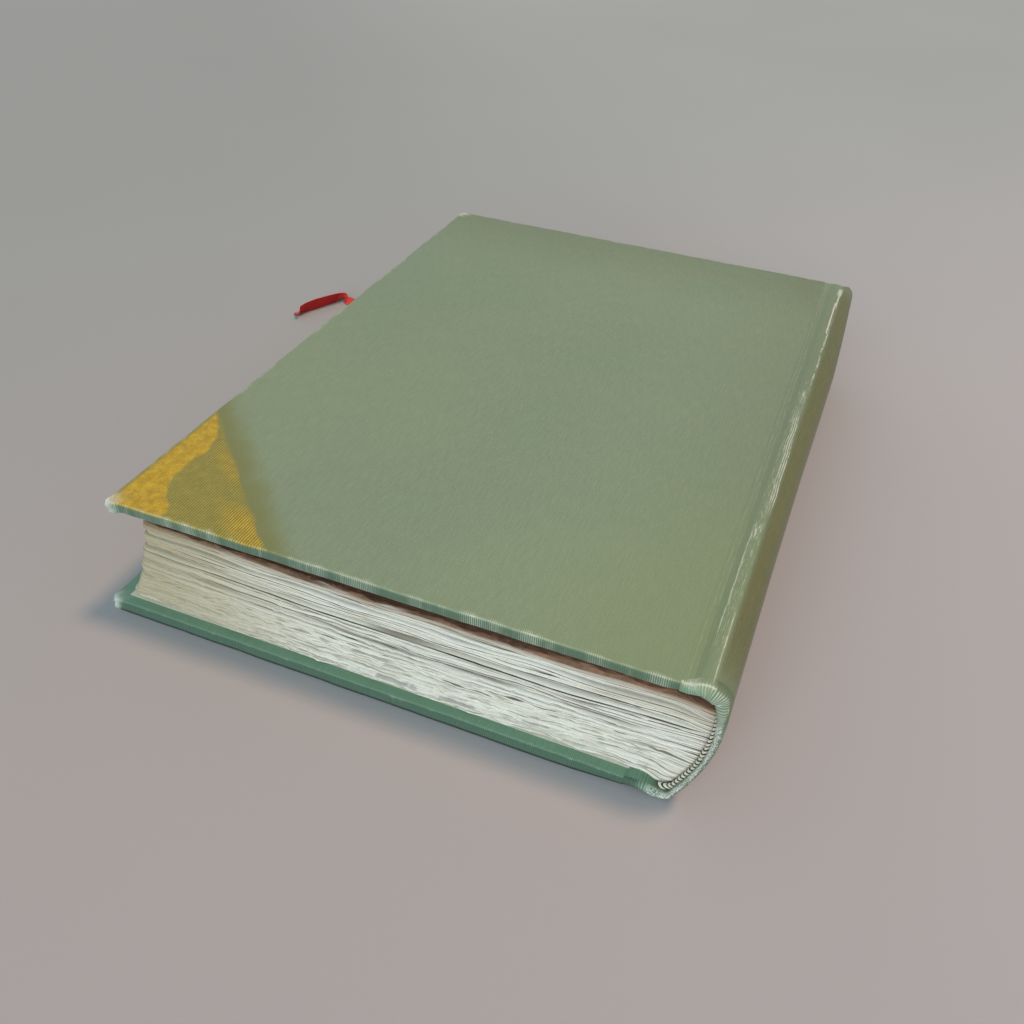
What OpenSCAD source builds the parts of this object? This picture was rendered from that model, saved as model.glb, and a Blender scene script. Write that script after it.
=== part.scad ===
// Cloth-bound hardback book, lying on its front cover with the back cover up.
// X runs from the fore-edge to the spine, Y from the tail to the head, Z up from the table.

/* [Covers] */
// Height of the covers, tail to head
cover_h = 240; // [160:1:320]
// Width of the upper cover, fore-edge to the start of the joint
cover_w = 165.8; // [110:0.1:220]
// Thickness of the pasteboard
board_t = 2.4; // [1.6:0.1:4]
// Thickness of the bookcloth
cloth_t = 0.3; // [0.2:0.05:0.5]
// Width of the cloth turned in over the board edges
turn_in = 15; // [10:1:22]
// Radius of the cover corners in plan
corner_r = 2.2; // [0.8:0.1:5]
// Radius of the long cover edges
edge_r = 0.9; // [0.4:0.1:1.2]
// How far the lower cover has slipped towards the fore-edge
cover_slip = 9.5; // [0:0.1:14]

/* [Pages] */
// Thickness of the sewn pages
pages_t = 37.7; // [15:0.1:60]
// Number of sewn gatherings
gatherings = 24; // [8:1:24]
// Space from the lower cover's fore-edge to the lowest page
fore_square = 4.3; // [2:0.1:8]
// Space from the covers' tail and head edges to the pages
end_square = 3.6; // [2:0.1:6]
// How far the fore-edge of the pages leans from bottom to top
page_lean = 12; // [0:0.1:16]
// Depth of the hollow along the fore-edge
fore_hollow = 2.3; // [0:0.1:5]
// How far single gatherings stand out or lie back
deckle = 0.55; // [0:0.05:1]
// Depth of the grooves between the gatherings
groove_in = 0.45; // [0.1:0.05:0.8]
// Swelling of the tail and head edges half way along
edge_swell = 1.5; // [0:0.1:2]
// Thickness of the flyleaves and pastedowns
paper_t = 0.15; // [0.1:0.01:0.25]

/* [Spine] */
// Width of the upper joint, board edge to the hinge line
joint_w = 2.2; // [1.8:0.1:8]
// Extra width of the lower joint, stretched by the lean
joint_stretch = 2.8; // [0:0.1:6]
// Depth of the joint below the cover
joint_d = 0.9; // [0.3:0.1:1.5]
// Rounding of the pages' back
back_round = 5.4; // [3:0.1:8]
// Rounding of the cloth spine
spine_round = 2.9; // [1.5:0.1:5]
// Width of the ridge between the joint and the spine's long curve
ridge_w = 8.5; // [7:0.1:10]
// How far the ridge stands above the upper cover
ridge_rise = 1.3; // [0.6:0.1:1.6]
// Thickness of the card spine strip
strip_t = 0.9; // [0.5:0.1:1.2]
// Thickness of the open-weave mull
mull_t = 0.25; // [0.15:0.05:0.4]
// Thickness of the kraft paper lining
lining_t = 0.2; // [0.1:0.05:0.4]
// Distance of the mull and lining from the covers' ends
mull_in = 20; // [16:1:40]
// Width of the mull glued to each board
mull_w = 28; // [15:1:45]
// Diameter of the endband cord
band_d = 1.7; // [1.2:0.1:2.2]
// Number of thread wraps along each endband
band_wraps = 32; // [16:1:40]

/* [Ribbon marker] */
// Width of the ribbon
ribbon_w = 6.5; // [4:0.5:8]
// Thickness of the ribbon
ribbon_t = 0.35; // [0.2:0.05:0.4]

/* [Hidden] */

// Play between glued layers on curved faces, and between paper and cover
glue = 0.03;
leaf_gap = 0.15;
// Gap left at the hinge line between a cover's sheets and the spine's
hinge_gap = 0.3;

cover_t = board_t + 2 * cloth_t;
inset_t = cover_t + 2 * paper_t + leaf_gap;
total_t = pages_t + 2 * inset_t;
groove_up = cover_w + joint_w;
groove_low = cover_w - cover_slip + joint_w + joint_stretch;

// Tips of the backed shoulders, upper and lower, and the width over which they bend out
flare = 0.48 * ridge_w;
tip_up = [groove_up + 0.5 * ridge_w, total_t + 0.08 * ridge_rise];
tip_low = [groove_low + 0.52 * ridge_w, 0.13 * ridge_w];
// Ends of the cloth spine's long curve
bend_up = tip_up + ridge_w * [0.66, -0.265];
bend_low = tip_low + ridge_w * [0.565, 0.345];

back_c = arc_centre(tip_up, tip_low, back_round);
back_r = norm(tip_up - back_c);
spine_c = arc_centre(bend_up, bend_low, spine_round);
spine_r = norm(bend_up - spine_c);
mid_x = (spine_c.x + spine_r - cover_slip) / 2;

// Direction of a point from a centre, in degrees
function turn(c, p) = atan2(p.y - c.y, p.x - c.x);
function arc_centre(a, b, sag) =
  let (m = (a + b) / 2, h = norm(a - b) / 2, r = (h * h + sag * sag) / (2 * sag),
       n = [a.y - b.y, b.x - a.x] / (2 * h))
  m - n * (r - sag);
function arc_points(c, r, a0, a1, n) =
  [for (k = [0:n]) let (a = a0 + (a1 - a0) * k / n) c + r * [cos(a), sin(a)]];
function ease(t) = let (u = min(max(t, 0), 1)) u * u * (3 - 2 * u);
function back_to_front(p) = [for (k = [len(p) - 1:-1:0]) p[k]];
function curve(p, n) =
  [for (i = [0:len(p) - 2])
     let (a = p[max(i - 1, 0)], b = p[i], c = p[i + 1], d = p[min(i + 2, len(p) - 1)])
     for (k = [0:(i == len(p) - 2 ? n : n - 1)])
       let (t = k / n)
       0.5 * (2 * b + (c - a) * t + (2 * a - 5 * b + 4 * c - d) * t * t
              + (3 * b - a - 3 * c + d) * t * t * t)];
function normal_at(p, i) =
  let (d = p[min(i + 1, len(p) - 1)] - p[max(i - 1, 0)])
  [d.y, -d.x] / norm(d);
function shifted(p, d) =
  [for (i = [0:len(p) - 1]) p[i] + normal_at(p, i) * (is_list(d) ? d[i] : d)];

// A sheet that follows a path in the XZ plane, between two depths below it
module sheet(p, d0, d1) {
  polygon(concat(shifted(p, d0), back_to_front(shifted(p, d1))));
}

// Carries an XZ outline along Y from y0 to y1
module along(y0, y1) {
  translate([0, y1, 0])
    rotate([90, 0, 0])
      linear_extrude(y1 - y0)
        children();
}

module placed() {
  translate([-mid_x, -cover_h / 2, 0])
    children();
}

// Cover shapes are drawn with the outer face down at z = 0 and the fore-edge at x = 0
module upper() {
  placed()
    translate([0, 0, total_t])
      mirror([0, 0, 1])
        children();
}

module lower() {
  placed()
    translate([-cover_slip, 0, 0])
      children();
}

function rounded(x0, y0, x1, y1, r) =
  concat(arc_points([x0 + r, y0 + r], r, 180, 270, 5),
         arc_points([x1 - r, y0 + r], r, 270, 360, 5),
         arc_points([x1 - r, y1 - r], r, 0, 90, 5),
         arc_points([x0 + r, y1 - r], r, 90, 180, 5));

// The joint's fall from level z0 to level z1, from x0 to x1
function fall(x0, x1, z0, z1) =
  [for (k = [0:8]) [x0 + (x1 - x0) * k / 8, z0 + (z1 - z0) * ease(k / 8)]];

// Outer and inner face of the joint, falling from the board's edge to the hinge line
function joint_out(w) = fall(cover_w - 0.2, cover_w + w, 0, joint_d);
function joint_in(w) = fall(cover_w - 0.2, cover_w + w, cover_t, joint_d + 2 * cloth_t);

// A cover's body, drawn d deep inside the cloth's outer face and closed by the given XZ points
module cover_body(d, end) {
  intersection() {
    along(-1, cover_h + 1)
      polygon(concat(
        arc_points([edge_r, cover_t - edge_r], edge_r - d, 90, 180, 5),
        arc_points([edge_r, edge_r], edge_r - d, 180, 270, 5),
        end));
    rotate([90, 0, 90])
      linear_extrude(2 * cover_w)
        polygon(rounded(d, d, cover_h - d, cover_t - d, edge_r - d));
    translate([0, 0, -1])
      linear_extrude(cover_t + 2)
        polygon(concat(
          arc_points([corner_r, corner_r], corner_r - d, 180, 270, 8),
          [[2 * cover_w, d], [2 * cover_w, cover_h - d]],
          arc_points([corner_r, cover_h - corner_r], corner_r - d, 90, 180, 8)));
  }
}

module board() {
  cover_body(cloth_t, [[cover_w - 0.2, cloth_t], [cover_w - 0.2, cover_t - cloth_t]]);
}

// One piece of cloth: over the board, turned in along three edges, and on over the joint, where the
// turned-in layer is pressed onto the outer one
module cover_cloth(w) {
  out = joint_out(w);
  inner = [for (p = out) p + [0, cloth_t]];
  under = [for (k = [0:7]) joint_in(w)[k] - [0, cloth_t]];
  // The cut that takes the turned-in layer away runs between the two layers, down to the outer one
  between = concat([for (k = [0:6]) (inner[k] + under[k]) / 2], [inner[7] + (inner[7] - inner[8]) / 2]);
  difference() {
    cover_body(0, concat(out, back_to_front(joint_in(w))));
    cover_body(cloth_t, concat([for (k = [0:7]) inner[k]], back_to_front(under)));
    along(turn_in, cover_h - turn_in)
      polygon(concat(
        [[cover_w + w + 1, cover_t + 1], [turn_in, cover_t + 1], [turn_in, cover_t - cloth_t - 0.01],
         [cover_w - 1, cover_t - cloth_t - 0.01]],
        between, [inner[8], [cover_w + w + 1, joint_d + cloth_t]]));
  }
}

// Paper pasted inside a cover, stepping over the turned-in cloth and the mull
module pastedown(w) {
  x0 = fore_square;
  bare = cover_t - cloth_t;
  over = bare + mull_t;
  mid = fall(cover_w - 0.2, cover_w + w, over, joint_d + cloth_t + mull_t);
  margin = concat([[x0, cover_t]], joint_in(w));
  // The paper bends down past the edge of the turned-in cloth
  function bend(x) = x > turn_in && x < turn_in + 1 ? paper_t : 0;
  step = concat([[x0, cover_t], [turn_in, cover_t], [turn_in + 0.01, bare]],
                [[cover_w - mull_w - 1, bare], [cover_w - mull_w - 0.5, over]], mid);
  for (y = [[end_square, turn_in], [cover_h - turn_in, cover_h - end_square]])
    along(y[0], y[1])
      polygon(concat(margin, back_to_front([for (p = margin) p + [0, paper_t]])));
  along(turn_in, cover_h - turn_in)
    polygon(concat(step, back_to_front([for (p = step) p + [bend(p.x), paper_t]])));
  for (y = [turn_in, cover_h - turn_in - paper_t])
    along(y, y + paper_t)
      polygon(concat(step, back_to_front([for (p = margin) p + [0, paper_t]])));
}

// The mull's flange between board and pastedown
module mull_flange(w) {
  mid = fall(cover_w - 0.2, cover_w + w, cover_t - cloth_t, joint_d + cloth_t);
  p = concat([[cover_w - mull_w, cover_t - cloth_t]], mid);
  along(mull_in, cover_h - mull_in)
    polygon(concat(p, back_to_front([for (q = p) q + [0, mull_t]])));
}

// Heights and fore-edge positions across the pages, u from 0 at the bottom to 1 at the top
function flat_z(u) = inset_t + u * pages_t;
function spine_z(u) = tip_low.y + u * (tip_up.y - tip_low.y);
function spine_x(u) = back_c.x + sqrt(back_r * back_r - pow(spine_z(u) - back_c.y, 2));
function fore_x(u) = fore_square - cover_slip + page_lean * u + 4 * fore_hollow * u * (1 - u);
function page_z(u, x) = flat_z(u) + (spine_z(u) - flat_z(u)) * ease((x - spine_x(u) + flare) / flare);

// Columns of points across a page, closer at the fore-edge corner and at the shoulder
corner_steps = [0, 0.35, 1.2, 2.6];
columns = 18;
shoulder_steps = 5;
function page_columns(x0, u) =
  let (a = x0 + corner_steps[3], b = spine_x(u) - flare)
  concat([for (s = corner_steps) x0 + s], [for (k = [1:columns]) a + (b - a) * k / columns],
         [for (k = [1:shoulder_steps]) b + flare * k / shoulder_steps]);

// Uneven edges of handmade paper: three slow waves with their own phase in every gathering
phase = rands(0, 360, 6 * gatherings + 12, 31);
out_by = rands(-1, 1, 3 * gatherings + 6, 7);
function wave(g, e, s) =
  0.5 * sin(s * 2.1 + phase[6 * g + 2 * e]) + 0.35 * sin(s * 5.3 + phase[6 * g + 2 * e + 1]);
// e is 0 at the tail, 1 at the head and 2 at the fore-edge
function edge_out(g, e, s) = deckle * (out_by[3 * g + e] + wave(g, e, s));
function rounding(d) = let (r = corner_steps[3], v = 1 - min(d / r, 1)) r * (1 - sqrt(1 - v * v));

// One closed loop around the pages at height u: tail edge, head edge back, then fore-edge
fore_steps = 10;
function page_loop(g, u, inset) =
  let (brown = 0.7 * ease((u - 0.86) / 0.04), back = inset + brown,
       x0 = fore_x(u) + back, xs = page_columns(x0, u), len_x = spine_x(u) - x0,
       near = [for (x = xs) ease((spine_x(u) - x) / 12)],
       swell = [for (x = xs) edge_swell * sin(180 * min(max((x - x0) / len_x, 0), 1))],
       tail = [for (i = [0:len(xs) - 1]) let (x = xs[i])
                 [x, end_square + back * near[i] + 0.6 - swell[i] + rounding(x - x0)
                     - edge_out(g, 0, x) * near[i], page_z(u, x)]],
       head = [for (i = [0:len(xs) - 1]) let (x = xs[i])
                 [x, cover_h - end_square - back * near[i] - 0.6 + swell[i] - rounding(x - x0)
                     + edge_out(g, 1, x) * near[i], page_z(u, x)]],
       y0 = tail[0].y, y1 = head[0].y)
  concat(back_to_front(tail),
         [for (k = [1:fore_steps]) let (y = y0 + (y1 - y0) * k / (fore_steps + 1))
            [x0 - edge_out(g, 2, y * 1.7) * sin(180 * k / (fore_steps + 1)), y, page_z(u, x0)]],
         head);

// Three loops a gathering: the groove below it, then the lower and upper edge of its face
page_loops =
  [for (g = [0:gatherings - 1])
     each [page_loop(g, g / gatherings, g == 0 ? 0.15 : groove_in),
           page_loop(g, (g + 0.16) / gatherings, 0),
           page_loop(g, (g + 0.84) / gatherings, 0.05)],
   page_loop(gatherings - 1, 1, 0.15)];

module pages() {
  m = len(page_loops[0]);
  n = len(page_loops);
  k = (m - fore_steps) / 2;
  sides =
    [for (i = [0:n - 2])
       for (j = [0:m - 1])
         let (a = i * m + j, b = i * m + (j + 1) % m, c = b + m, d = a + m)
         each [[a, c, d], [a, b, c]]];
  // The flat faces join the tail points to the head points column by column
  face =
    concat([for (j = [0:k - 2]) each [[j, j + 1, m - 2 - j], [j, m - 2 - j, m - 1 - j]]],
           [for (j = [k - 1:m - k - 1]) [j, j + 1, m - k]]);
  flat = [for (t = face) if (t[0] != t[1] && t[1] != t[2] && t[0] != t[2]) t];
  polyhedron(
    points = [for (p = page_loops) each p],
    faces = concat(sides, [for (t = flat) back_to_front(t)],
                   [for (t = flat) [for (q = t) q + (n - 1) * m]]));
}

// The sewn pages, with the gap between two leaves where the ribbon lies
module text_block() {
  slot = ribbon_t + 0.3;
  half = ribbon_w / 2 + 0.8;
  color("wheat")
    placed()
      difference() {
        pages();
        translate([0, 0, ribbon_z - slot / 2])
          linear_extrude(slot)
            polygon(concat(shifted(ribbon_slot, half), back_to_front(shifted(ribbon_slot, -half))));
        translate([ribbon_x - 15.4, 0, ribbon_z])
          rotate([90, 0, 90])
            linear_extrude(12.4)
              polygon([[cover_h - 16, 0], [cover_h, -4.4], [cover_h, 4.4]]);
      }
}

// Free endpapers, lying on the pages and following them up to the hinge line
module flyleaf(u, s, x_end) {
  x0 = fore_x(u) + 1.2;
  xs = [for (x = page_columns(fore_x(u), u)) if (x > x0 && x < x_end) x];
  p = [for (x = concat([x0], xs, [x_end])) [x, page_z(u, x)]];
  placed()
    along(end_square + 0.4, cover_h - end_square - 0.4)
      polygon(concat(p, back_to_front([for (q = p) q + [0, s * paper_t]])));
}

module back_flyleaf() {
  color("sienna")
    flyleaf(1, 1, tip_up.x);
}

module front_flyleaf() {
  color("ivory")
    flyleaf(0, -1, tip_low.x);
}

// Layers glued to the pages' back. The mull runs on along the flyleaves to the hinge lines
function back_arc(d, trim) =
  arc_points(back_c, back_r + d, turn(back_c, tip_up) - trim, turn(back_c, tip_low) + trim, 24);
function flank(u, s, x0, x1) =
  let (xs = [for (x = page_columns(fore_x(u), u)) if (x > x0 && x < x1) x])
  [for (x = concat([x0], xs, [x1])) [x, page_z(u, x) + s * (paper_t + 2 * glue)]];

module mull() {
  up = flank(1, 1, groove_up + hinge_gap, tip_up.x - 0.1);
  low = back_to_front(flank(0, -1, groove_low + hinge_gap, tip_low.x - 0.1));
  inner = concat(up, [tip_up + [0.2, 0.2]], back_arc(glue, 0.4), [tip_low + [0.2, -0.2]], low);
  outer = concat([for (p = up) p + [0, mull_t]], [tip_up + [0.4, 0.45]], back_arc(glue + mull_t, 0.4),
                 [tip_low + [0.4, -0.45]], [for (p = low) p - [0, mull_t]]);
  color("gainsboro")
    placed()
      along(mull_in, cover_h - mull_in)
        polygon(concat(inner, back_to_front(outer)));
}

module spine_lining() {
  d = 2 * glue + mull_t;
  color("peru")
    placed()
      along(mull_in, cover_h - mull_in)
        polygon(concat(back_arc(d, 1), back_to_front(back_arc(d + lining_t, 1))));
}

// The cloth spine's outer face, from the upper hinge line over the ridge and down to the lower one
ridge_up = [
  [groove_up + hinge_gap, total_t - joint_d],
  [groove_up + 0.12 * ridge_w, total_t - 0.2 * ridge_rise],
  [groove_up + 0.21 * ridge_w, total_t + 0.6 * ridge_rise],
  [groove_up + 0.35 * ridge_w, total_t + 0.95 * ridge_rise],
  [groove_up + 0.54 * ridge_w, total_t + ridge_rise],
  [groove_up + 0.74 * ridge_w, total_t + 0.7 * ridge_rise],
  [groove_up + 0.96 * ridge_w, total_t]
];
ridge_low = [
  [tip_low.x + 0.46 * ridge_w, 0.2 * ridge_w],
  [tip_low.x + 0.32 * ridge_w, 0.05 * ridge_w],
  [tip_low.x + 0.14 * ridge_w, 0],
  [tip_low.x - 0.05 * ridge_w, 0],
  [tip_low.x - 0.24 * ridge_w, 0.04 * ridge_w],
  [groove_low + hinge_gap, joint_d]
];
long_curve = arc_points(spine_c, spine_r, turn(spine_c, bend_up), turn(spine_c, bend_low), 12);
spine_path = [for (p = curve(concat(ridge_up, long_curve, ridge_low), 3)) [p.x, max(p.y, 0)]];
strip_low = bend_low.y + 2;
strip_high = bend_up.y - 2;
// Depth of the turned-in layer: behind the strip, or straight against the outer layer
tuck = [for (p = spine_path)
          cloth_t + (p.x > bend_low.x - 2 ? strip_t + 2 * glue : 0)
          * ease((p.y - strip_low + 1.8) / 1.8) * ease((strip_high + 2.4 - p.y) / 2.4)];

module spine_strip() {
  r = spine_r - cloth_t - glue;
  span = [[spine_c.x, strip_low], [spine_c.x + 2 * spine_r, strip_low],
          [spine_c.x + 2 * spine_r, strip_high], [spine_c.x, strip_high]];
  color("burlywood")
    placed()
      along(cloth_t + glue, cover_h - cloth_t - glue)
        intersection() {
          difference() {
            translate(spine_c) circle(r, $fn = 180);
            translate(spine_c) circle(r - strip_t, $fn = 180);
          }
          polygon(span);
        }
}

module spine_cloth() {
  depth = [for (d = tuck) d + cloth_t];
  color("olivedrab")
    placed() {
      along(0, cover_h)
        sheet(spine_path, 0, cloth_t);
      for (y = [0, cover_h - cloth_t])
        along(y, y + cloth_t)
          sheet(spine_path, 0, depth);
      for (y = [0, cover_h - turn_in + 3])
        along(y, y + turn_in - 3)
          polygon(concat(shifted(spine_path, tuck), back_to_front(shifted(spine_path, depth))));
    }
}

// Endbands: a cord wrapped with thread along the pages' back, at the tail and the head
band_sides = 8;
function band_ring(k, y, s) =
  let (n = 3 * band_wraps, a0 = turn(back_c, tip_low) + 1.6, a1 = turn(back_c, tip_up) - 1.6,
       a = a0 + (a1 - a0) * k / n, r = band_d / 2 * (k % 3 == 0 ? 0.8 : 1),
       mid = back_r - 0.42 * band_d)
  [for (j = [0:band_sides - 1])
     let (b = 360 * j / band_sides + 22.5, lift = r * sin(b), reach = mid + r * cos(b),
          lean = a + s * 0.55 * sin(b))
     [back_c.x + reach * cos(lean), y + lift, back_c.y + reach * sin(lean)]];

function ring_faces(n, m) =
  concat([for (i = [0:n - 2]) for (j = [0:m - 1])
            let (a = i * m + j, b = i * m + (j + 1) % m) each [[a, b + m, b], [a, a + m, b + m]]],
         [[for (j = [0:m - 1]) j]], [[for (j = [m - 1:-1:0]) (n - 1) * m + j]]);

module band(y, s) {
  rings = [for (k = [0:3 * band_wraps]) band_ring(k, y, s)];
  placed()
    polyhedron(points = [for (r = rings) each r], faces = ring_faces(len(rings), band_sides));
}

module tail_band() {
  color("antiquewhite")
    band(end_square + 0.55 - band_d / 2, 1);
}

// The ribbon passes under the head band, which is notched for it
module head_band() {
  color("antiquewhite")
    difference() {
      band(cover_h - end_square - 0.55 + band_d / 2, -1);
      placed()
        translate([ribbon_x - 6, cover_h - end_square - 1, ribbon_z - ribbon_w / 2 - 0.5])
          cube([10, 1.6 + ribbon_t / 2, ribbon_w + 1]);
    }
}

// The ribbon's route, as [x, y, z, turn of its width out of the level], from its glued end on the
// pages' back, over the head, between the leaves and out at the fore-edge to its free end
ribbon_x = spine_x(0.53) + 0.22;
ribbon_z = inset_t + pages_t / 2 + 1.2;
ribbon_out = fore_x(0.5);
ribbon_y = cover_h - 33;
ribbon_route = [
  [ribbon_x, cover_h - 18, ribbon_z, 98],
  [ribbon_x, cover_h - 4.6, ribbon_z, 98],
  [ribbon_x - 0.5, cover_h - 3.9, ribbon_z, 94],
  [ribbon_x - 1.6, cover_h - 3.7, ribbon_z, 90],
  [ribbon_x - 3.8, cover_h - 3.4, ribbon_z, 84],
  [ribbon_x - 6.5, cover_h - 2.6, ribbon_z, 45],
  [ribbon_x - 9.5, cover_h - 3.6, ribbon_z, 14],
  [ribbon_x - 13, cover_h - 8, ribbon_z, 3],
  [ribbon_x - 20, cover_h - 11.5, ribbon_z, 0],
  [ribbon_x - 34, cover_h - 15.5, ribbon_z, 0],
  [ribbon_out + 100, ribbon_y + 12, ribbon_z, 0],
  [ribbon_out + 40, ribbon_y + 4, ribbon_z, 0],
  [ribbon_out - 2, ribbon_y, ribbon_z - 0.1, 0],
  [ribbon_out - 8, ribbon_y + 1, ribbon_z - 1, 0],
  [ribbon_out - 16, ribbon_y + 2, 17, 0],
  [ribbon_out - 24, ribbon_y + 3, 10, 0],
  [ribbon_out - 30, ribbon_y + 4, 4.5, 0],
  [ribbon_out - 36, ribbon_y + 5, 1.3, 0],
  [ribbon_out - 43, ribbon_y + 6, 0.4, 0],
  [ribbon_out - 50, ribbon_y + 7.5, 0.4, 0],
  [ribbon_out - 53.5, ribbon_y + 8, 1, 14],
  [ribbon_out - 55, ribbon_y + 6, 2.5, 40],
  [ribbon_out - 57, ribbon_y + 1, 3.1, 62],
  [ribbon_out - 61, ribbon_y - 7, 3.1, 62],
  [ribbon_out - 64, ribbon_y - 13, 2.9, 52],
  [ribbon_out - 66, ribbon_y - 17, 1.4, 12]
];
ribbon_path = curve(ribbon_route, 3);
ribbon_slot = [for (k = [21:37]) [ribbon_path[k].x, ribbon_path[k].y]];
// Corners of the ribbon's section, across its width and its thickness
ribbon_corners = [[1, 0.5], [0.9, 1], [-0.9, 1], [-1, 0.5], [-1, -0.5], [-0.9, -1], [0.9, -1], [1, -0.5]];
ribbon_section = [for (p = ribbon_corners) [p.x * ribbon_w / 2, p.y * ribbon_t / 2]];

module ribbon_marker() {
  path = ribbon_path;
  n = len(path);
  rings = [for (i = [0:n - 1])
             let (a = path[max(i - 1, 0)], b = path[min(i + 1, n - 1)],
                  d = [b.x - a.x, b.y - a.y, b.z - a.z], t = d / norm(d),
                  level = [-t.y, t.x, 0] / norm([t.x, t.y]), up = cross(t, level), q = path[i][3],
                  w = level * cos(q) + up * sin(q), h = cross(t, w))
             [for (p = ribbon_section) [path[i].x, path[i].y, path[i].z] + w * p.x + h * p.y]];
  color("firebrick")
    placed()
      polyhedron(points = [for (r = rings) each r], faces = ring_faces(n, len(ribbon_section)));
}

module back_board() {
  color("tan")
    upper() board();
}

module back_cloth() {
  color("darkseagreen")
    upper() cover_cloth(joint_w);
}

module back_pastedown() {
  color("ivory")
    upper() pastedown(joint_w);
}

module back_mull() {
  color("gainsboro")
    upper() mull_flange(joint_w);
}

module front_board() {
  color("tan")
    lower() board();
}

module front_cloth() {
  color("seagreen")
    lower() cover_cloth(joint_w + joint_stretch);
}

module front_pastedown() {
  color("ivory")
    lower() pastedown(joint_w + joint_stretch);
}

module front_mull() {
  color("gainsboro")
    lower() mull_flange(joint_w + joint_stretch);
}

text_block();
back_flyleaf();
front_flyleaf();
head_band();
tail_band();
mull();
spine_lining();
spine_strip();
spine_cloth();
ribbon_marker();
back_board();
back_cloth();
back_pastedown();
back_mull();
front_board();
front_cloth();
front_pastedown();
front_mull();
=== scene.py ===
import math

import bpy
import numpy as np
from mathutils import Matrix, Vector


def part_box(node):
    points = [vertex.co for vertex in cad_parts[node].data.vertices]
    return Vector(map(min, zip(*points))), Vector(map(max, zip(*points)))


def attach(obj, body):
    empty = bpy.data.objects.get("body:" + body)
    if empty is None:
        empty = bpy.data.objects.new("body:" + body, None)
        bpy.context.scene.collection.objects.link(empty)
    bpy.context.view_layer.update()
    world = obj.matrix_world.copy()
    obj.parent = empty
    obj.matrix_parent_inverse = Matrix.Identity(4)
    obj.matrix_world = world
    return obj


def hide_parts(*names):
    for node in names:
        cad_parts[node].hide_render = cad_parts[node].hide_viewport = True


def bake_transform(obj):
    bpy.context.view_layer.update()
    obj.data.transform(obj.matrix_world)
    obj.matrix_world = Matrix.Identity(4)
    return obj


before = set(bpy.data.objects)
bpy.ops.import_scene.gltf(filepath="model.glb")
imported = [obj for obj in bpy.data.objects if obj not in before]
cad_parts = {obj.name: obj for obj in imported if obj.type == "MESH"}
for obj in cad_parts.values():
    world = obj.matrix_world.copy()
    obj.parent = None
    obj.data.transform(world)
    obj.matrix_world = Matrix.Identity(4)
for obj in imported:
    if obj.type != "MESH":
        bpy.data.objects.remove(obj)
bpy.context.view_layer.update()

# Book coordinates are millimetres: x from the upper cover's fore-edge, y from the tail, z from the table
MID_X = -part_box("back_cloth")[0].x * 1000

# Covers
COVER_H = 240.0
COVER_W = 165.8
BOARD_T = 2.4
CLOTH_T = 0.3
COVER_T = BOARD_T + 2 * CLOTH_T
CORNER_R = 2.2
SLIP = 9.5
ARRIS_R = 0.45
FOOT_R = 0.6

# Pages
PAGES_T = 37.7
FORE_SQUARE = 4.3
END_SQUARE = 3.6
PAGE_LEAN = 12.0
FORE_HOLLOW = 2.3
EDGE_SWELL = 1.5
PAPER_T = 0.15
INSET_T = COVER_T + 2 * PAPER_T + 0.15
TOTAL_T = PAGES_T + 2 * INSET_T

# Joints and spine
JOINT_W = 2.2
JOINT_STRETCH = 2.8
JOINT_D = 0.9
HINGE_GAP = 0.3
BACK_ROUND = 5.4
SPINE_ROUND = 2.9
RIDGE_W = 8.5
RIDGE_RISE = 1.3
FLARE = 0.48 * RIDGE_W
GROOVE_UP = COVER_W + JOINT_W
GROOVE_LOW = COVER_W - SLIP + JOINT_W + JOINT_STRETCH

# Endbands, ribbon and the pitch of the cloth's ribs
BAND_D = 1.7
WRAPS_SEEN = 27
RIBBON_W = 6.5
RIBBON_T = 0.35
RIB = 0.55

# The photo's camera, solved from the covers' corners
CAM_AZIMUTH = math.radians(20.632)
CAM_ELEVATION = math.radians(38.356)
CAM_ROLL = math.radians(2.572)
CAM_TARGET = (85.789, 95.432, 0)
CAM_DISTANCE = 344.52
FOCAL_PX = 964.642
PHOTO_PX = 1024
SENSOR = 36


def pt(*v):
    return np.array(v, float)


def to_frame(points):
    """Book millimetres to the row frame's metres."""
    p = np.asarray(points, float)
    return (p - pt(MID_X, COVER_H / 2, 0)) * 0.001


# Camera

def make_camera():
    flat = math.cos(CAM_ELEVATION)
    back = pt(math.sin(CAM_AZIMUTH) * flat, -math.cos(CAM_AZIMUTH) * flat, math.sin(CAM_ELEVATION))
    right = np.cross(-back, (0, 0, 1))
    right /= np.linalg.norm(right)
    up = np.cross(right, -back)
    c, s = math.cos(CAM_ROLL), math.sin(CAM_ROLL)
    axes = (c * right + s * up, -s * right + c * up, back)
    data = bpy.data.cameras.new("camera")
    data.sensor_width = SENSOR
    data.lens = FOCAL_PX / PHOTO_PX * SENSOR
    data.clip_start, data.clip_end = 0.01, 20
    cam = bpy.data.objects.new("camera", data)
    turned = Matrix([[axis[row] for axis in axes] for row in range(3)]).to_4x4()
    cam.matrix_world = Matrix.Translation(to_frame(pt(*CAM_TARGET) + back * CAM_DISTANCE)) @ turned
    bpy.context.scene.collection.objects.link(cam)
    bpy.context.scene.camera = cam


make_camera()


# Shape helpers

def ease(t):
    """0 to 1 over t from 0 to 1, level at both ends."""
    u = np.clip(t, 0, 1)
    return u * u * (3 - 2 * u)


def bell(d, width):
    """1 where d is 0, and near 0 from twice the width away."""
    return np.exp(-((d / width) ** 2))


def decay(d, length):
    """1 up to d of 0, then fading over the length."""
    return np.exp(-np.maximum(d, 0) / length)


def along_line(points):
    """The length along a line at each of its points."""
    return np.concatenate([[0], np.cumsum(np.linalg.norm(np.diff(points, axis=0), axis=1))])


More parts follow.
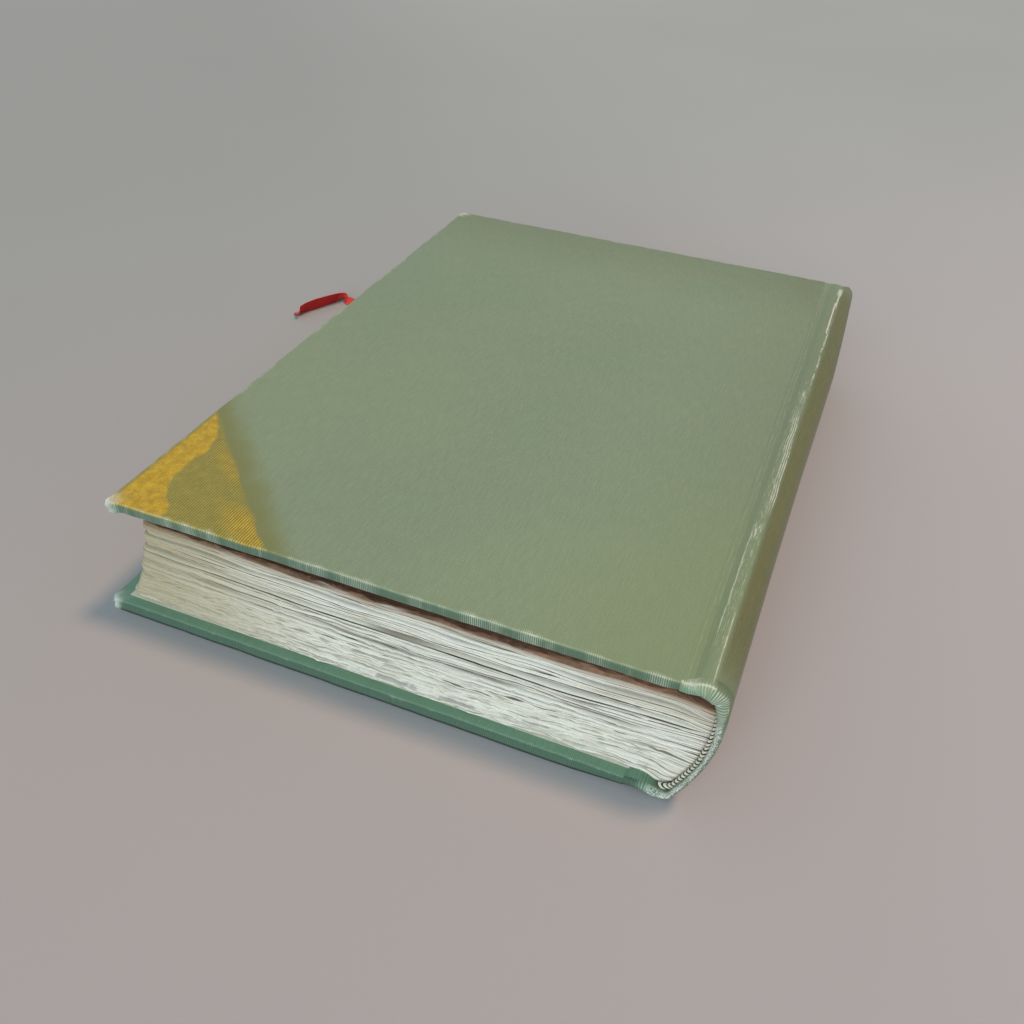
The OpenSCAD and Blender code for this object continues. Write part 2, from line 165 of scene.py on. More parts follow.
def curve_through(points, n):
    """Points on a smooth curve through the given ones, n steps between each pair."""
    p = np.asarray(points, float)
    out = []
    for i in range(len(p) - 1):
        a, b, c, d = p[max(i - 1, 0)], p[i], p[i + 1], p[min(i + 2, len(p) - 1)]
        for k in range(n + 1 if i == len(p) - 2 else n):
            t = k / n
            square, cube = (2 * a - 5 * b + 4 * c - d) * t * t, (3 * b - a - 3 * c + d) * t**3
            out.append(0.5 * (2 * b + (c - a) * t + square + cube))
    return np.array(out)


def arc_centre(a, b, sag):
    m, h = (a + b) / 2, np.linalg.norm(a - b) / 2
    r = (h * h + sag * sag) / (2 * sag)
    n = pt(a[1] - b[1], b[0] - a[0]) / (2 * h)
    return m - n * (r - sag)


def direction(c, p):
    return math.atan2(p[1] - c[1], p[0] - c[0])


def slow_noise(x, seed, waves=5, lowest=0.02, highest=0.3):
    """Smooth noise of a length in millimetres, between about -1 and 1."""
    r = np.random.default_rng(seed)
    f = np.exp(r.uniform(math.log(lowest), math.log(highest), waves))
    ph = r.uniform(0, 2 * math.pi, waves)
    amp = (lowest / f) ** 0.35
    total = sum(a * np.sin(2 * math.pi * fi * np.asarray(x, float) + p) for a, fi, p in zip(amp, f, ph))
    return total / amp.sum() * 1.6


def lattice_noise(p, scale, seed):
    """Value noise of points, smooth and between -1 and 1."""
    r = np.random.default_rng(seed)
    table = r.uniform(-1, 1, 4096)
    q = np.asarray(p, float) / scale
    base = np.floor(q).astype(int)
    f = q - base
    f = f * f * (3 - 2 * f)
    total = 0
    for corner in range(8):
        off = np.array([(corner >> k) & 1 for k in range(3)])
        w = np.prod(np.where(off, f, 1 - f), axis=1)
        c = base + off
        h = (c[:, 0] * 73856093 ^ c[:, 1] * 19349663 ^ c[:, 2] * 83492791) & 4095
        total = total + w * table[h]
    return total


# The pages' back and the spine's long curve, as arcs in XZ
TIP_UP = pt(GROOVE_UP + 0.5 * RIDGE_W, TOTAL_T + 0.08 * RIDGE_RISE)
TIP_LOW = pt(GROOVE_LOW + 0.52 * RIDGE_W, 0.13 * RIDGE_W)
BEND_UP = TIP_UP + RIDGE_W * pt(0.66, -0.265)
BEND_LOW = TIP_LOW + RIDGE_W * pt(0.565, 0.345)
BACK_C = arc_centre(TIP_UP, TIP_LOW, BACK_ROUND)
BACK_R = float(np.linalg.norm(TIP_UP - BACK_C))
SPINE_C = arc_centre(BEND_UP, BEND_LOW, SPINE_ROUND)
SPINE_R = float(np.linalg.norm(BEND_UP - SPINE_C))


# Places in the pages, u from 0 at the bottom to 1 at the top

def flat_z(u):
    return INSET_T + u * PAGES_T


def spine_z(u):
    return TIP_LOW[1] + u * (TIP_UP[1] - TIP_LOW[1])


def spine_x(u):
    return BACK_C[0] + np.sqrt(BACK_R**2 - (spine_z(u) - BACK_C[1]) ** 2)


def fore_x(u):
    return FORE_SQUARE - SLIP + PAGE_LEAN * u + 4 * FORE_HOLLOW * u * (1 - u)


def page_z(u, x):
    return flat_z(u) + (spine_z(u) - flat_z(u)) * ease((x - spine_x(u) + FLARE) / FLARE)


def stacked(values):
    """A list of arrays end to end, anything else as one array."""
    rows = isinstance(values, list) and isinstance(values[0], np.ndarray)
    return np.concatenate(values) if rows else np.asarray(values, float)


def new_piece(name, verts, faces, material, attributes=None):
    """A mesh piece from book millimetres. attributes are the per-vertex numbers that its material reads."""
    me = bpy.data.meshes.new(name)
    v = stacked(verts)
    me.from_pydata(to_frame(v).tolist(), [], [tuple(int(i) for i in f) for f in faces])
    me.update()
    for key, values in (attributes or {}).items():
        numbers = stacked(values).astype(np.float32)
        me.attributes.new(key, "FLOAT", "POINT").data.foreach_set("value", numbers)
    # The book's own coordinates at rest, which stay with the piece as it turns
    rest = v.astype(np.float32).ravel()
    me.attributes.new("rest", "FLOAT_VECTOR", "POINT").data.foreach_set("vector", rest)
    me.polygons.foreach_set("use_smooth", [True] * len(me.polygons))
    o = bpy.data.objects.new(name, me)
    bpy.context.scene.collection.objects.link(o)
    me.materials.append(material)
    return o


def grid_faces(rows, cols, start=0, wrap=False, flip=False):
    """Quads of a grid of points stored row by row."""
    i = np.arange(rows - 1)[:, None]
    j = np.arange(cols if wrap else cols - 1)[None, :]
    a = start + i * cols + j
    b = start + i * cols + (j + 1) % cols
    f = np.stack([a, b, b + cols, a + cols], -1).reshape(-1, 4)
    return f[:, ::-1] if flip else f


# Materials

def linear(rgb):
    """An sRGB colour of 0 to 255 as the linear RGBA that sockets take."""
    c = np.asarray(rgb, float) / 255
    c = np.where(c <= 0.04045, c / 12.92, ((c + 0.055) / 1.055) ** 2.4)
    return (*[float(x) for x in c], 1.0)


class Value:
    """A node's output with arithmetic, so that a formula reads as one."""

    def __init__(self, look, socket):
        self.look = look
        self.socket = socket

    def __add__(self, other):
        return self.look.math("ADD", self, other)

    def __sub__(self, other):
        return self.look.math("SUBTRACT", self, other)

    def __rsub__(self, other):
        return self.look.math("SUBTRACT", other, self)

    def __mul__(self, other):
        return self.look.math("MULTIPLY", self, other)

    __radd__ = __add__
    __rmul__ = __mul__


class Look:
    """Short names for building one material's nodes."""

    def __init__(self, name, roughness=0.7, specular=0.3, sheen=0.0):
        self.material = bpy.data.materials.new(name)
        self.material.use_nodes = True
        self.tree = self.material.node_tree
        self.shader = self.tree.nodes["Principled BSDF"]
        self.shader.inputs["Roughness"].default_value = roughness
        self.shader.inputs["Specular IOR Level"].default_value = specular
        if sheen:
            self.shader.inputs["Sheen Weight"].default_value = sheen
            self.shader.inputs["Sheen Roughness"].default_value = 0.5

    def put(self, socket, value):
        if isinstance(value, Value):
            self.tree.links.new(value.socket, socket)
        else:
            socket.default_value = value

    def node(self, kind, inputs, output, **props):
        """A new node with some of its inputs set or linked, as one of its outputs."""
        n = self.tree.nodes.new(kind)
        for k, v in props.items():
            setattr(n, k, v)
        for k, v in inputs.items():
            self.put(n.inputs[k], v)
        return Value(self, n.outputs[output])

    def read(self, name, output="Fac"):
        return self.node("ShaderNodeAttribute", {}, output, attribute_name=name)

    def rest(self):
        return self.read("rest", "Vector")

    def place(self):
        """The place on a piece, in metres."""
        return self.node("ShaderNodeTexCoord", {}, "Object")

    def math(self, op, a, b=0.0, clamp=False):
        return self.node("ShaderNodeMath", {0: a, 1: b}, 0, operation=op, use_clamp=clamp)

    def vec(self, x, y=0.0, z=0.0):
        return self.node("ShaderNodeCombineXYZ", {0: x, 1: y, 2: z}, 0)

    def split(self, v):
        first = self.node("ShaderNodeSeparateXYZ", {0: v}, 0)
        return [Value(self, socket) for socket in first.socket.node.outputs]

    def scale(self, v, by):
        return self.node("ShaderNodeVectorMath", {0: v, 1: by}, 0, operation="MULTIPLY")

    def noise(self, v, scale=1.0, detail=2.0, rough=0.5):
        inputs = {"Vector": v, "Scale": scale, "Detail": detail, "Roughness": rough}
        return self.node("ShaderNodeTexNoise", inputs, "Fac")

    def step(self, value, low, high, to_low=0.0, to_high=1.0):
        """Smooth change from one number to another as value goes from low to high."""
        inputs = {"Value": value, "From Min": low, "From Max": high, "To Min": to_low, "To Max": to_high}
        return self.node("ShaderNodeMapRange", inputs, 0, interpolation_type="SMOOTHSTEP")

    def wave(self, value, pitch, shift=0.0):
        """0 to 1 over each pitch."""
        turns = value * (2 * math.pi / pitch) + shift
        return self.math("SINE", turns) * 0.5 + 0.5

    def bump_at(self, value, centre, half, soft):
        """1 within half of centre, fading to 0 over soft."""
        return self.step(self.math("ABSOLUTE", value - centre), half + soft, half)

    def span(self, value, low, high, soft):
        """1 from low to high, with soft ends."""
        return self.step(value, low - soft, low + soft) * self.step(value, high + soft, high - soft)

    def most(self, *parts):
        total = parts[0]
        for part in parts[1:]:
            total = self.math("MAXIMUM", total, part)
        return total

    def mix(self, fac, a, b):
        """The first colour where fac is 0, the second where it is 1."""
        a, b = (linear(v) if isinstance(v, tuple) else v for v in (a, b))
        return self.node("ShaderNodeMix", {0: fac, 6: a, 7: b}, 2, data_type="RGBA")

    def shade(self, colour, amount):
        """colour times a grey amount."""
        return self.node("ShaderNodeVectorMath", {0: colour, "Scale": amount}, 0, operation="SCALE")

    def finish(self, colour, height, depth, strength):
        """The finished material, with a height that is depth metres from 0 to 1."""
        self.put(self.shader.inputs["Base Color"], colour)
        inputs = {"Strength": strength, "Distance": depth, "Height": height}
        self.put(self.shader.inputs["Normal"], self.node("ShaderNodeBump", inputs, 0))
        return self.material


# Marks on the ridge: across the book, from and to along it, softness, and how much of it comes in flecks
RIDGE_LINES = ((172.6, 2.0, 27.0, 2.0, 0.55), (170.0, 20.0, 63.0, 4.0, 0.7))
CREASES = ((165.3, 0.22), (166.6, 0.22), (167.8, 0.2))


def ridge_wear(k, rest):
    """Pale rubbed lines on the spine's ridge and the creases of the joint, placed in book millimetres."""
    x, y, z = k.split(rest)
    top = k.step(z, TOTAL_T - 1.6, TOTAL_T - 0.9)
    xw = x + (k.noise(k.scale(rest, (0, 0.07, 0)), 1.0, 2) * 1.2 - 0.6)
    broken = k.noise(k.vec(x * 2.0, y * 0.22), 1.0, 3, 0.75)
    flecks = k.step(broken, 0.42, 0.6)
    lines = [
        k.bump_at(xw, at, 0.06, 0.24) * k.span(y, low, high, soft) * (flecks * share + (1 - share))
        for at, low, high, soft, share in RIDGE_LINES]
    creases = k.most(*[k.bump_at(xw, at, 0.05, soft) for at, soft in CREASES]) * (flecks * 0.16 + 0.02)
    # A long bundle of bright scratches, and cloth rubbed pale around it
    streak = k.bump_at(xw + k.step(y, 95.0, 130.0, 0.0, 0.9), 172.5, 0.8, 0.4) * k.span(y, 74.0, 130.0, 7.0)
    streak = streak * k.step(k.wave(xw, 0.62), 0.25, 0.75) * k.step(broken, 0.34, 0.56)
    rubbed = k.bump_at(x, 171.4, 1.0, 0.9) * k.span(y, 12.0, 150.0, 12.0) * (k.step(broken, 0.5, 0.7) * 0.5)
    head = k.most(k.span(y, 150.0, 200.0, 12.0) * flecks, k.span(y, 217.0, 232.0, 4.0))
    head = head * k.bump_at(xw, 173.0, 0.14, 0.3)
    patches = (
        k.bump_at(x, 171.2, 0.5, 1.0) * k.bump_at(y, 62.5, 1.5, 4.0) * flecks,
        k.bump_at(x, 172.8, 0.3, 0.9) * k.bump_at(y, 231.0, 1.5, 3.0),
        k.bump_at(x, 172.0, 0.4, 0.8) * k.bump_at(y, 141.0, 1.5, 5.0) * (flecks * 0.8))
    return k.most(*lines, streak, rubbed, head, *patches, creases) * top


# Cloth colours, as pairs that soft blotches mix
DEEP_GREEN = (115, 149, 121), (123, 158, 127)
SAGE = (127, 142, 114), (131, 145, 113)
SAGE_COOL = (125, 143, 114)
YELLOW_GREEN = (134, 150, 106)
SPINE_BROWN = (97, 97, 58), (106, 105, 64)
LINT = (196, 200, 172)
PITS = (72, 84, 58)
STAIN_HALO = (119, 119, 64)
STAIN_OLIVE = (122, 118, 54), (154, 146, 68)
GOLD = (170, 134, 26), (200, 166, 42)
GOLD_DULL = (128, 112, 40)
WORN_THREAD = (206, 208, 184), (228, 226, 212)
# The stain's edge cuts the corner where x and y add up to this
STAIN_REACH = 51.5


def stain_over(k, colour, rest, rib, run, weft, speck, wobble):
    """The stained corner: an olive tide with a halo, and gold threads that show through it."""
    x, y, z = k.split(rest)
    up = k.step(z, TOTAL_T - 0.75, TOTAL_T - 0.3)
    edge = k.noise(rest, 0.11, 3, 0.55) * 9.0 - 4.5
    inside = STAIN_REACH - (x + y)
    halo = k.step(inside + edge, -15.0, -1.0) * up
    colour = k.mix(halo * 0.85, colour, STAIN_HALO)
    tide = k.step(inside + edge * 0.3, -1.2, 1.0) * up
    thread = k.wave(rib, 0.8, wobble)
    gold = k.mix(k.step(k.noise(rest, 0.4, 4, 0.7), 0.3, 0.7), *GOLD)
    gold = k.mix(k.step(speck, 0.45, 0.3) * 0.35, gold, GOLD_DULL)
    gold = k.shade(gold, thread * 0.34 + 0.84)
    # Yellow threads glint in rows all over the olive part
    glints = k.step(k.noise(k.vec(rib * 1.2, run * 0.45), 1.0, 3, 0.7), 0.4, 0.6)
    olive = k.mix(k.noise(rest, 0.35, 3, 0.6), *STAIN_OLIVE)
    olive = k.shade(k.shade(olive, weft * 0.22 + 0.88), thread * 0.46 + 0.72)
    olive = k.mix(k.step(thread, 0.55, 0.9) * glints * 0.6, olive, gold)
    colour = k.mix(tide * 0.9, colour, olive)
    # The bright band along the fore-edge is widest near the tail
    reach = k.step(y, 15.0, 1.0, 10.2, 18.6) + k.step(y, 36.0, 50.0, 0.0, -7.8)
    band = k.step(reach - x + edge * 0.6, -0.7, 0.7)
    lower = k.step(inside, 15.0, 6.0) * k.step(y, 16.0, 9.0)
    upper = k.step(inside, 9.0, 3.0) * (k.step(y, 19.0, 23.0) * k.step(y, 36.0, 32.0))
    patch = k.math("ADD", k.most(lower, upper * 0.7), k.noise(rest, 0.16, 2) * 0.6 - 0.36, clamp=True)
    threads = k.step(thread + patch * 0.34, 0.6, 0.9)
    clouded = k.step(k.noise(rest, 0.22, 3, 0.7), 0.34, 0.5, 0.78, 1.0)
    bright = k.most(band * clouded, patch * threads)
    # The turned edge itself was never stained
    return k.mix(bright * tide * k.step(x, 0.9, 1.7) * 0.95, colour, gold)


def cloth_look(name, stain=False, ridge=False):
    """Ribbed bookcloth. rib and run are lengths across and along the ribs, and the rest go from 0 to 1."""
    k = Look(name, roughness=0.66, specular=0.25, sheen=0.1)
    rest = k.rest()
    rib, run, fade, wear = (k.read(n) for n in ("rib", "run", "fade", "wear"))
    olive, painted_shade, fuzz = (k.read(n) for n in ("olive", "painted_shade", "fuzz"))
    broad = k.noise(rest, 0.016, 2, 0.5)
    blotch = k.noise(rest, 0.07, 3, 0.6)
    grain = k.noise(k.vec(rib * 1.6, run * 0.16), 1.0, 2, 0.6)
    speck = k.noise(rest, 1.9, 2, 0.7)
    wobble = k.noise(k.scale(rest, (0.05, 0.05, 0.05)), 1.0, 1) * 3.0
    ribs = k.wave(rib, RIB, wobble)
    weft = k.wave(run, 0.43, grain * 9.0)

    deep = k.mix(blotch, *DEEP_GREEN)
    sage = k.mix(k.step(broad, 0.3, 0.72), *SAGE)
    sage = k.mix(k.step(blotch, 0.35, 0.75) * 0.3, sage, SAGE_COOL)
    faded = k.mix(olive, sage, k.mix(blotch, *SPINE_BROWN))
    colour = k.mix(fade, deep, faded)
    fresh = 1.0 - fade
    colour = k.shade(colour, ribs * (fresh * 0.16 + 0.13) + (0.935 - fresh * 0.08))
    colour = k.shade(colour, weft * 0.07 + 0.965)
    colour = k.shade(colour, k.step(grain, 0.25, 0.8, 0.94, 1.06))
    colour = k.mix(k.step(speck, 0.6, 0.78) * 0.28, colour, LINT)
    colour = k.mix(k.step(speck, 0.4, 0.26) * 0.24, colour, PITS)
    # Painted light and shade: a touch darker towards the head's fore-edge, lighter towards the tail at the
    # joint, and darker down the side of the spine
    x, y, z = k.split(rest)
    colour = k.shade(colour, k.step(x - y, -240.0, 160.0, 0.955, 1.04))
    if ridge:
        colour = k.shade(colour, k.step(z, 18.0, 44.0, 0.84, 1.0))
    # Yellower towards the tail's ridge, but not on the brown side of the spine
    yellower = k.step(x, 105.0, 168.0) * k.step(y, 130.0, 10.0) * fade * k.step(olive, 0.6, 0.3)
    colour = k.mix(yellower * 0.42, colour, YELLOW_GREEN)
    # Painted shade on the covers' sides, along the lower board's foot, and in the spine's foot and side
    colour = k.shade(colour, 1.0 - painted_shade)
    if stain:
        colour = stain_over(k, colour, rest, rib, run, weft, speck, wobble)

    # Worn rib crests turn pale, then the whole thread does
    ragged = k.noise(k.vec(rib * 0.55, run * 0.12), 1.0, 3, 0.7)
    worn = wear + (ragged * 0.8 - 0.42)
    crest = k.step(worn, 0.15, 0.75) * k.step(ribs, 0.3, 0.95, 0.1, 0.85)
    bare = k.step(worn, 0.74, 1.02)
    fluff = k.noise(rest, 2.3, 3, 0.75)
    hairy = fuzz * k.step(wear * 0.14 + fluff, 0.5, 0.66)
    pale = k.most(k.most(crest, bare) * (1.0 - fuzz * 0.9), hairy)
    if ridge:
        pale = k.most(pale, ridge_wear(k, rest))
    colour = k.mix(pale * (fuzz * 0.1 + 0.82), colour, k.mix(fuzz, *WORN_THREAD))
    height = ribs * 0.7 + weft * 0.25 + speck * 0.5 + wear * speck * 1.6 + fuzz * fluff * 4.0
    return k.finish(colour, height, 0.00009, 0.8)


PAPER = (232, 222, 200), (246, 237, 218)
PAPER_WHITE = (255, 247, 228)
LEAF_GAP_SHADE = (50, 40, 28)
LEAF_LINE_SHADE = (104, 88, 66)
TORN_SHADOW = (150, 134, 108)
FORE_EDGE_TAN = (188, 170, 130)
FOLD_TAN = (186, 162, 130)
GROOVE_SHADE = (64, 52, 38)
ENDLEAF_TAN = (154, 116, 90)
ENDLEAF_SHADOW = (66, 43, 30)


def page_look():
    """Cut and deckled leaf edges. leaf is the height in the pile and run the length along the edge."""
    k = Look("leaf_edges", roughness=0.85, specular=0.15)
    rest = k.rest()
    leaf, run, groove, brown, soft = (k.read(n) for n in ("leaf", "run", "groove", "brown", "soft"))
    along = run * 0.018
    wide = k.noise(k.vec(along, leaf * 0.32), 1.0, 2, 0.6)
    streak = k.noise(k.vec(along, leaf * 1.1), 1.0, 3, 0.7)
    fibre = k.noise(k.scale(rest, (1.0, 1.0, 2.4)), 1.6, 3, 0.7)
    torn = k.noise(k.vec(run * 0.09, leaf * 0.85), 1.0, 4, 0.62)
    paper = k.mix(k.step(wide, 0.3, 0.7), *PAPER)
    # Paler streaks: partly lighter leaves, partly painted highlight on the edges of leaves that stand out
    paper = k.mix(k.step(streak, 0.41, 0.53) * (1.0 - soft * 0.3), paper, PAPER_WHITE)
    # Painted shade in the fine dark lines between leaves, straight above and gently torn towards the bottom
    shift = wide * 4.0 + soft * torn * 3.0
    lines = k.step(k.wave(leaf, 1.7, shift), 0.86, 0.98)
    broken = k.step(k.noise(k.vec(run * 0.03, leaf * 0.75, 7.0), 1.0, 2), 0.34, 0.5)
    fine = k.step(k.wave(leaf, 0.8, shift * 1.9), 0.62, 0.95)
    paper = k.mix(fine * (0.68 - soft * 0.35) * k.step(streak, 0.66, 0.45), paper, LEAF_LINE_SHADE)
    paper = k.mix(lines * broken * (0.96 - soft * 0.45), paper, LEAF_GAP_SHADE)
    paper = k.mix(soft * k.step(torn, 0.54, 0.68) * 0.3, paper, TORN_SHADOW)
    # Darker and browner towards the fore-edge, and tan at the upper leaves' fold
    paper = k.mix(k.step(run, 80.0, 0.0, 0.0, 0.8), paper, FORE_EDGE_TAN)
    paper = k.mix(k.step(run, 125.0, 172.0) * k.step(leaf, 17.0, 31.0) * 0.36, paper, FOLD_TAN)
    paper = k.shade(paper, k.step(fibre, 0.25, 0.75, 0.9, 1.05))
    # Painted shade in the grooves between leaves, darkest in the gap below each bundle
    paper = k.mix(groove * (0.85 - soft * 0.5), paper, GROOVE_SHADE)
    # The brown endleaves: tan torn edges below, painted shadow under the board
    crinkle = k.noise(k.vec(run * 0.2, leaf * 2.2), 1.0, 3, 0.7)
    darker = k.step(crinkle * 2.4 + leaf, 33.1, 34.5) * k.step(run, 60.0, 170.0, 0.95, 0.8)
    darker = darker + k.step(run, 150.0, 40.0, 0.0, 0.05)
    mottle = k.noise(k.vec(run * 0.3, leaf * 3.0), 1.0, 3, 0.7)
    tan = k.shade(k.mix(darker, ENDLEAF_TAN, ENDLEAF_SHADOW), k.step(mottle, 0.3, 0.7, 0.72, 1.24))
    paper = k.mix(brown, paper, tan)
    return k.finish(paper, streak * 0.8 + fibre * 0.6 - lines * 0.5, 0.00025, 0.7)


def sheet_look(name, light, dark, fibre_scale=1.2):
    """Plain paper, card or board with soft clouding and fibres."""
    k = Look(name, roughness=0.85, specular=0.2)
    at = k.scale(k.place(), (1000, 1000, 1000))
    cloud = k.noise(at, 0.03, 3, 0.6)
    fibre = k.noise(at, fibre_scale, 3, 0.7)
    colour = k.mix(k.step(cloud, 0.3, 0.72), light, dark)
    return k.finish(k.shade(colour, k.step(fibre, 0.25, 0.75, 0.93, 1.05)), fibre, 0.00005, 0.6)


def weave_look(name, thread, gap, pitch):
    """Open plain weave, for the mull."""
    k = Look(name, roughness=0.9, specular=0.1)
    at = k.scale(k.place(), (1000, 1000, 1000))
    x, y, z = k.split(at)
    lines = k.most(k.wave(x + z, pitch), k.wave(y, pitch))
    colour = k.mix(k.step(lines, 0.55, 0.8), gap, thread)
    return k.finish(k.shade(colour, k.step(k.noise(at, 0.8, 2), 0.3, 0.7, 0.9, 1.05)), lines, 0.0001, 0.7)


def band_look():
    """Cream thread wraps. dark is painted shade in the gap between two wraps and along the outer side, and
    turn runs along the twist.
    """
    k = Look("endband_thread", roughness=0.75, specular=0.2, sheen=0.1)
    strand = k.wave(k.read("turn"), 0.2)
    cream = k.mix(k.noise(k.rest(), 0.5, 2), (226, 216, 188), (244, 238, 216))
    colour = k.mix(k.read("dark"), k.shade(cream, strand * 0.1 + 0.92), (36, 40, 30))
    return k.finish(colour, strand, 0.00006, 0.6)


def ribbon_look():
    """Dark red satin. pale marks its paler end, and painted light where it lies flat before the fold."""
    k = Look("ribbon_satin", roughness=0.5, specular=0.3)
    weft = k.wave(k.read("run"), 0.28)
    warp = k.wave(k.read("across"), 0.35)
    red = k.mix(k.noise(k.rest(), 0.35, 2), (172, 17, 14), (196, 26, 20))
    red = k.mix(k.read("pale"), red, (214, 62, 50))
    red = k.shade(k.shade(red, weft * 0.1 + 0.94), warp * 0.08 + 0.95)
    return k.finish(red, weft + warp * 0.5, 0.00004, 0.7)


def fuzz_look():
    """Loose threads, greener where tint is higher."""
    k = Look("frayed_thread", roughness=0.9, specular=0.1, sheen=0.2)
    rest = k.rest()
    pale = k.mix(k.noise(rest, 1.5, 2), (198, 200, 184), (226, 224, 208))
    return k.finish(k.mix(k.read("tint"), pale, (120, 146, 118)), k.noise(rest, 5, 2), 0.00003, 0.5)


CLOTH_BACK = cloth_look("bookcloth_back", stain=True)
CLOTH_SPINE = cloth_look("bookcloth_spine", ridge=True)
CLOTH_FRONT = cloth_look("bookcloth_front")
PAGES = page_look()
ENDPAPER = sheet_look("endpaper", (226, 219, 200), (210, 201, 178))
ENDPAPER_BROWN = sheet_look("endpaper_brown", (146, 104, 78), (122, 82, 58))
BOARD = sheet_look("pasteboard", (176, 158, 128), (150, 134, 106), 0.9)
CARD = sheet_look("spine_card", (188, 172, 140), (168, 150, 118), 0.9)
KRAFT = sheet_look("kraft_lining", (172, 132, 92), (148, 110, 74))
MULL = weave_look("mull_weave", (222, 216, 200), (150, 140, 120), 1.1)
BAND = band_look()
RIBBON = ribbon_look()
FUZZ = fuzz_look()

for node, look in (
    ("back_flyleaf", ENDPAPER_BROWN), ("front_flyleaf", ENDPAPER), ("mull", MULL), ("spine_lining", KRAFT),
    ("spine_strip", CARD), ("back_board", BOARD), ("front_board", BOARD), ("back_pastedown", ENDPAPER_BROWN),
    ("front_pastedown", ENDPAPER), ("back_mull", MULL), ("front_mull", MULL),
):
    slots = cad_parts[node].data.materials
    if not len(slots):
        slots.append(look)
    for i in range(len(slots)):
        slots[i] = look


# Ribbon marker

RIBBON_X = float(spine_x(0.53)) + 0.22
RIBBON_Z = INSET_T + PAGES_T / 2 + 1.2
RIBBON_OUT = float(fore_x(0.5))
RIBBON_Y = COVER_H - 33
RX, RY, RZ, RO = RIBBON_X, COVER_H, RIBBON_Z, RIBBON_OUT
# x, y, z and the roll in degrees, from the glued end to the loose one
RIBBON_ROUTE = [
    (RX, RY - 18, RZ, 98), (RX, RY - 4.6, RZ, 98), (RX - 0.5, RY - 3.9, RZ, 94), (RX - 1.6, RY - 3.7, RZ, 90),
    (RX - 3.8, RY - 3.4, RZ, 84), (RX - 6.5, RY - 2.6, RZ, 45), (RX - 9.5, RY - 3.6, RZ, 14),
    (RX - 13, RY - 8, RZ, 3), (RX - 20, RY - 11.5, RZ, 0), (RX - 34, RY - 15.5, RZ, 0),
    (RO + 100, RIBBON_Y + 12, RZ, 0), (RO + 40, RIBBON_Y + 4, RZ, 0), (RO - 2, RIBBON_Y, RZ - 0.1, 0),
    (RO - 8, RIBBON_Y + 1, RZ - 1, 0), (RO - 16, RIBBON_Y + 2, 17, 0), (RO - 24, RIBBON_Y + 3, 10, 0),
    (RO - 30, RIBBON_Y + 4, 4.5, 0), (RO - 36, RIBBON_Y + 5, 1.3, 0), (RO - 43, RIBBON_Y + 6, 0.4, 0),
    (RO - 50, RIBBON_Y + 7.5, 0.4, 0), (RO - 53.5, RIBBON_Y + 8, 1, 14), (RO - 55, RIBBON_Y + 6, 2.5, 60),
    (RO - 57, RIBBON_Y + 1, 3.1, 58), (RO - 61, RIBBON_Y - 7, 3.1, 74), (RO - 64, RIBBON_Y - 13, 2.9, 62),
    (RO - 66, RIBBON_Y - 17, 1.4, 6),
]
ROUTE_STEPS = 6
# The standing part near the loose end, between two crisp folds: point on the curve and its roll
LAST_ROLL = ((118, 4), (121, 10), (125, 58), (138, 72), (146, 62), (147.5, 28), (150, 24))


def make_ribbon():
    line = curve_through(RIBBON_ROUTE, ROUTE_STEPS)
    p, roll = line[:, :3], line[:, 3]
    last = np.arange(LAST_ROLL[0][0], len(p))
    roll[last] = np.interp(last, *zip(*LAST_ROLL))
    roll = np.radians(roll)
    t = np.gradient(p, axis=0)
    t /= np.linalg.norm(t, axis=1)[:, None]
    level = np.stack([-t[:, 1], t[:, 0], 0 * t[:, 0]], 1)
    level /= np.linalg.norm(level, axis=1)[:, None]
    up = np.cross(t, level)
    w = level * np.cos(roll)[:, None] + up * np.sin(roll)[:, None]
    h = np.cross(t, w)
    length = along_line(p)
    end = length[-1]
    # Points round the ribbon's section: a face and the half width that each lies at
    half = (-1, -0.96, -0.88, -0.7, -0.3, 0.3, 0.7, 0.88, 0.96, 1)
    section = [(0.5, a) for a in half] + [(-0.5, a) for a in half[::-1]]
    n, m = len(p), len(section)
    columns = []
    for side, a in section:
        curl = 0.12 * (a * a) * np.sin(length / 7.0)
        ragged = np.where(np.arange(n) == n - 1, 0.9 * slow_noise(a * 3, 5, 4, 0.3, 1.5), 0)
        q = p + w * (a * RIBBON_W / 2) + h * (side * RIBBON_T * 0.7 + curl)[:, None] + t * ragged[:, None]
        q[:, 2] = np.maximum(q[:, 2], 0.05)
        columns.append(q)
    # Paler at its end, and painted light where it lies flat before the fold
    x, y = p[:, 0], p[:, 1]
    lying = 0.9 * ease((x + 44) / -2) * ease((x + 56) / 4) * (y > RIBBON_Y + 4.5)
    pale = np.clip(ease((length - end + 6) / 5) + lying, 0, 1)
    faces = grid_faces(n, m, wrap=True, flip=True).tolist()
    faces += [range(m), range(n * m - 1, (n - 1) * m - 1, -1)]
    o = new_piece("ribbon_cloth", np.stack(columns, 1).reshape(-1, 3), faces, RIBBON, {
        "across": np.tile([a * RIBBON_W / 2 for _, a in section], n),
        "run": np.repeat(length, m), "pale": np.repeat(pale, m)})
    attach(o, "book_block")
    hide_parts("ribbon_marker")


make_ribbon()


# Pages

LEAVES = 96
# Insets that round a leaf's corner at the fore-edge
CORNER_STEPS = pt(0, 0.2, 0.7, 1.5, 2.6)
CORNER_IN = CORNER_STEPS[-1]
# Where the leaves end at the back, as (z, x): rounder than the glued back behind, and full at the foot
SEEN_BACK = (
    (1.1, 165.6), (1.7, 166.9), (3.2, 168.4), (5.5, 169.6), (7.5, 170.5), (10.6, 171.9), (13.9, 173.1),
    (16.9, 173.9), (20.8, 174.6), (25, 175.1), (29, 175.4), (33, 175.4), (36.5, 175.0), (38.6, 174.4),
    (39.6, 173.4))


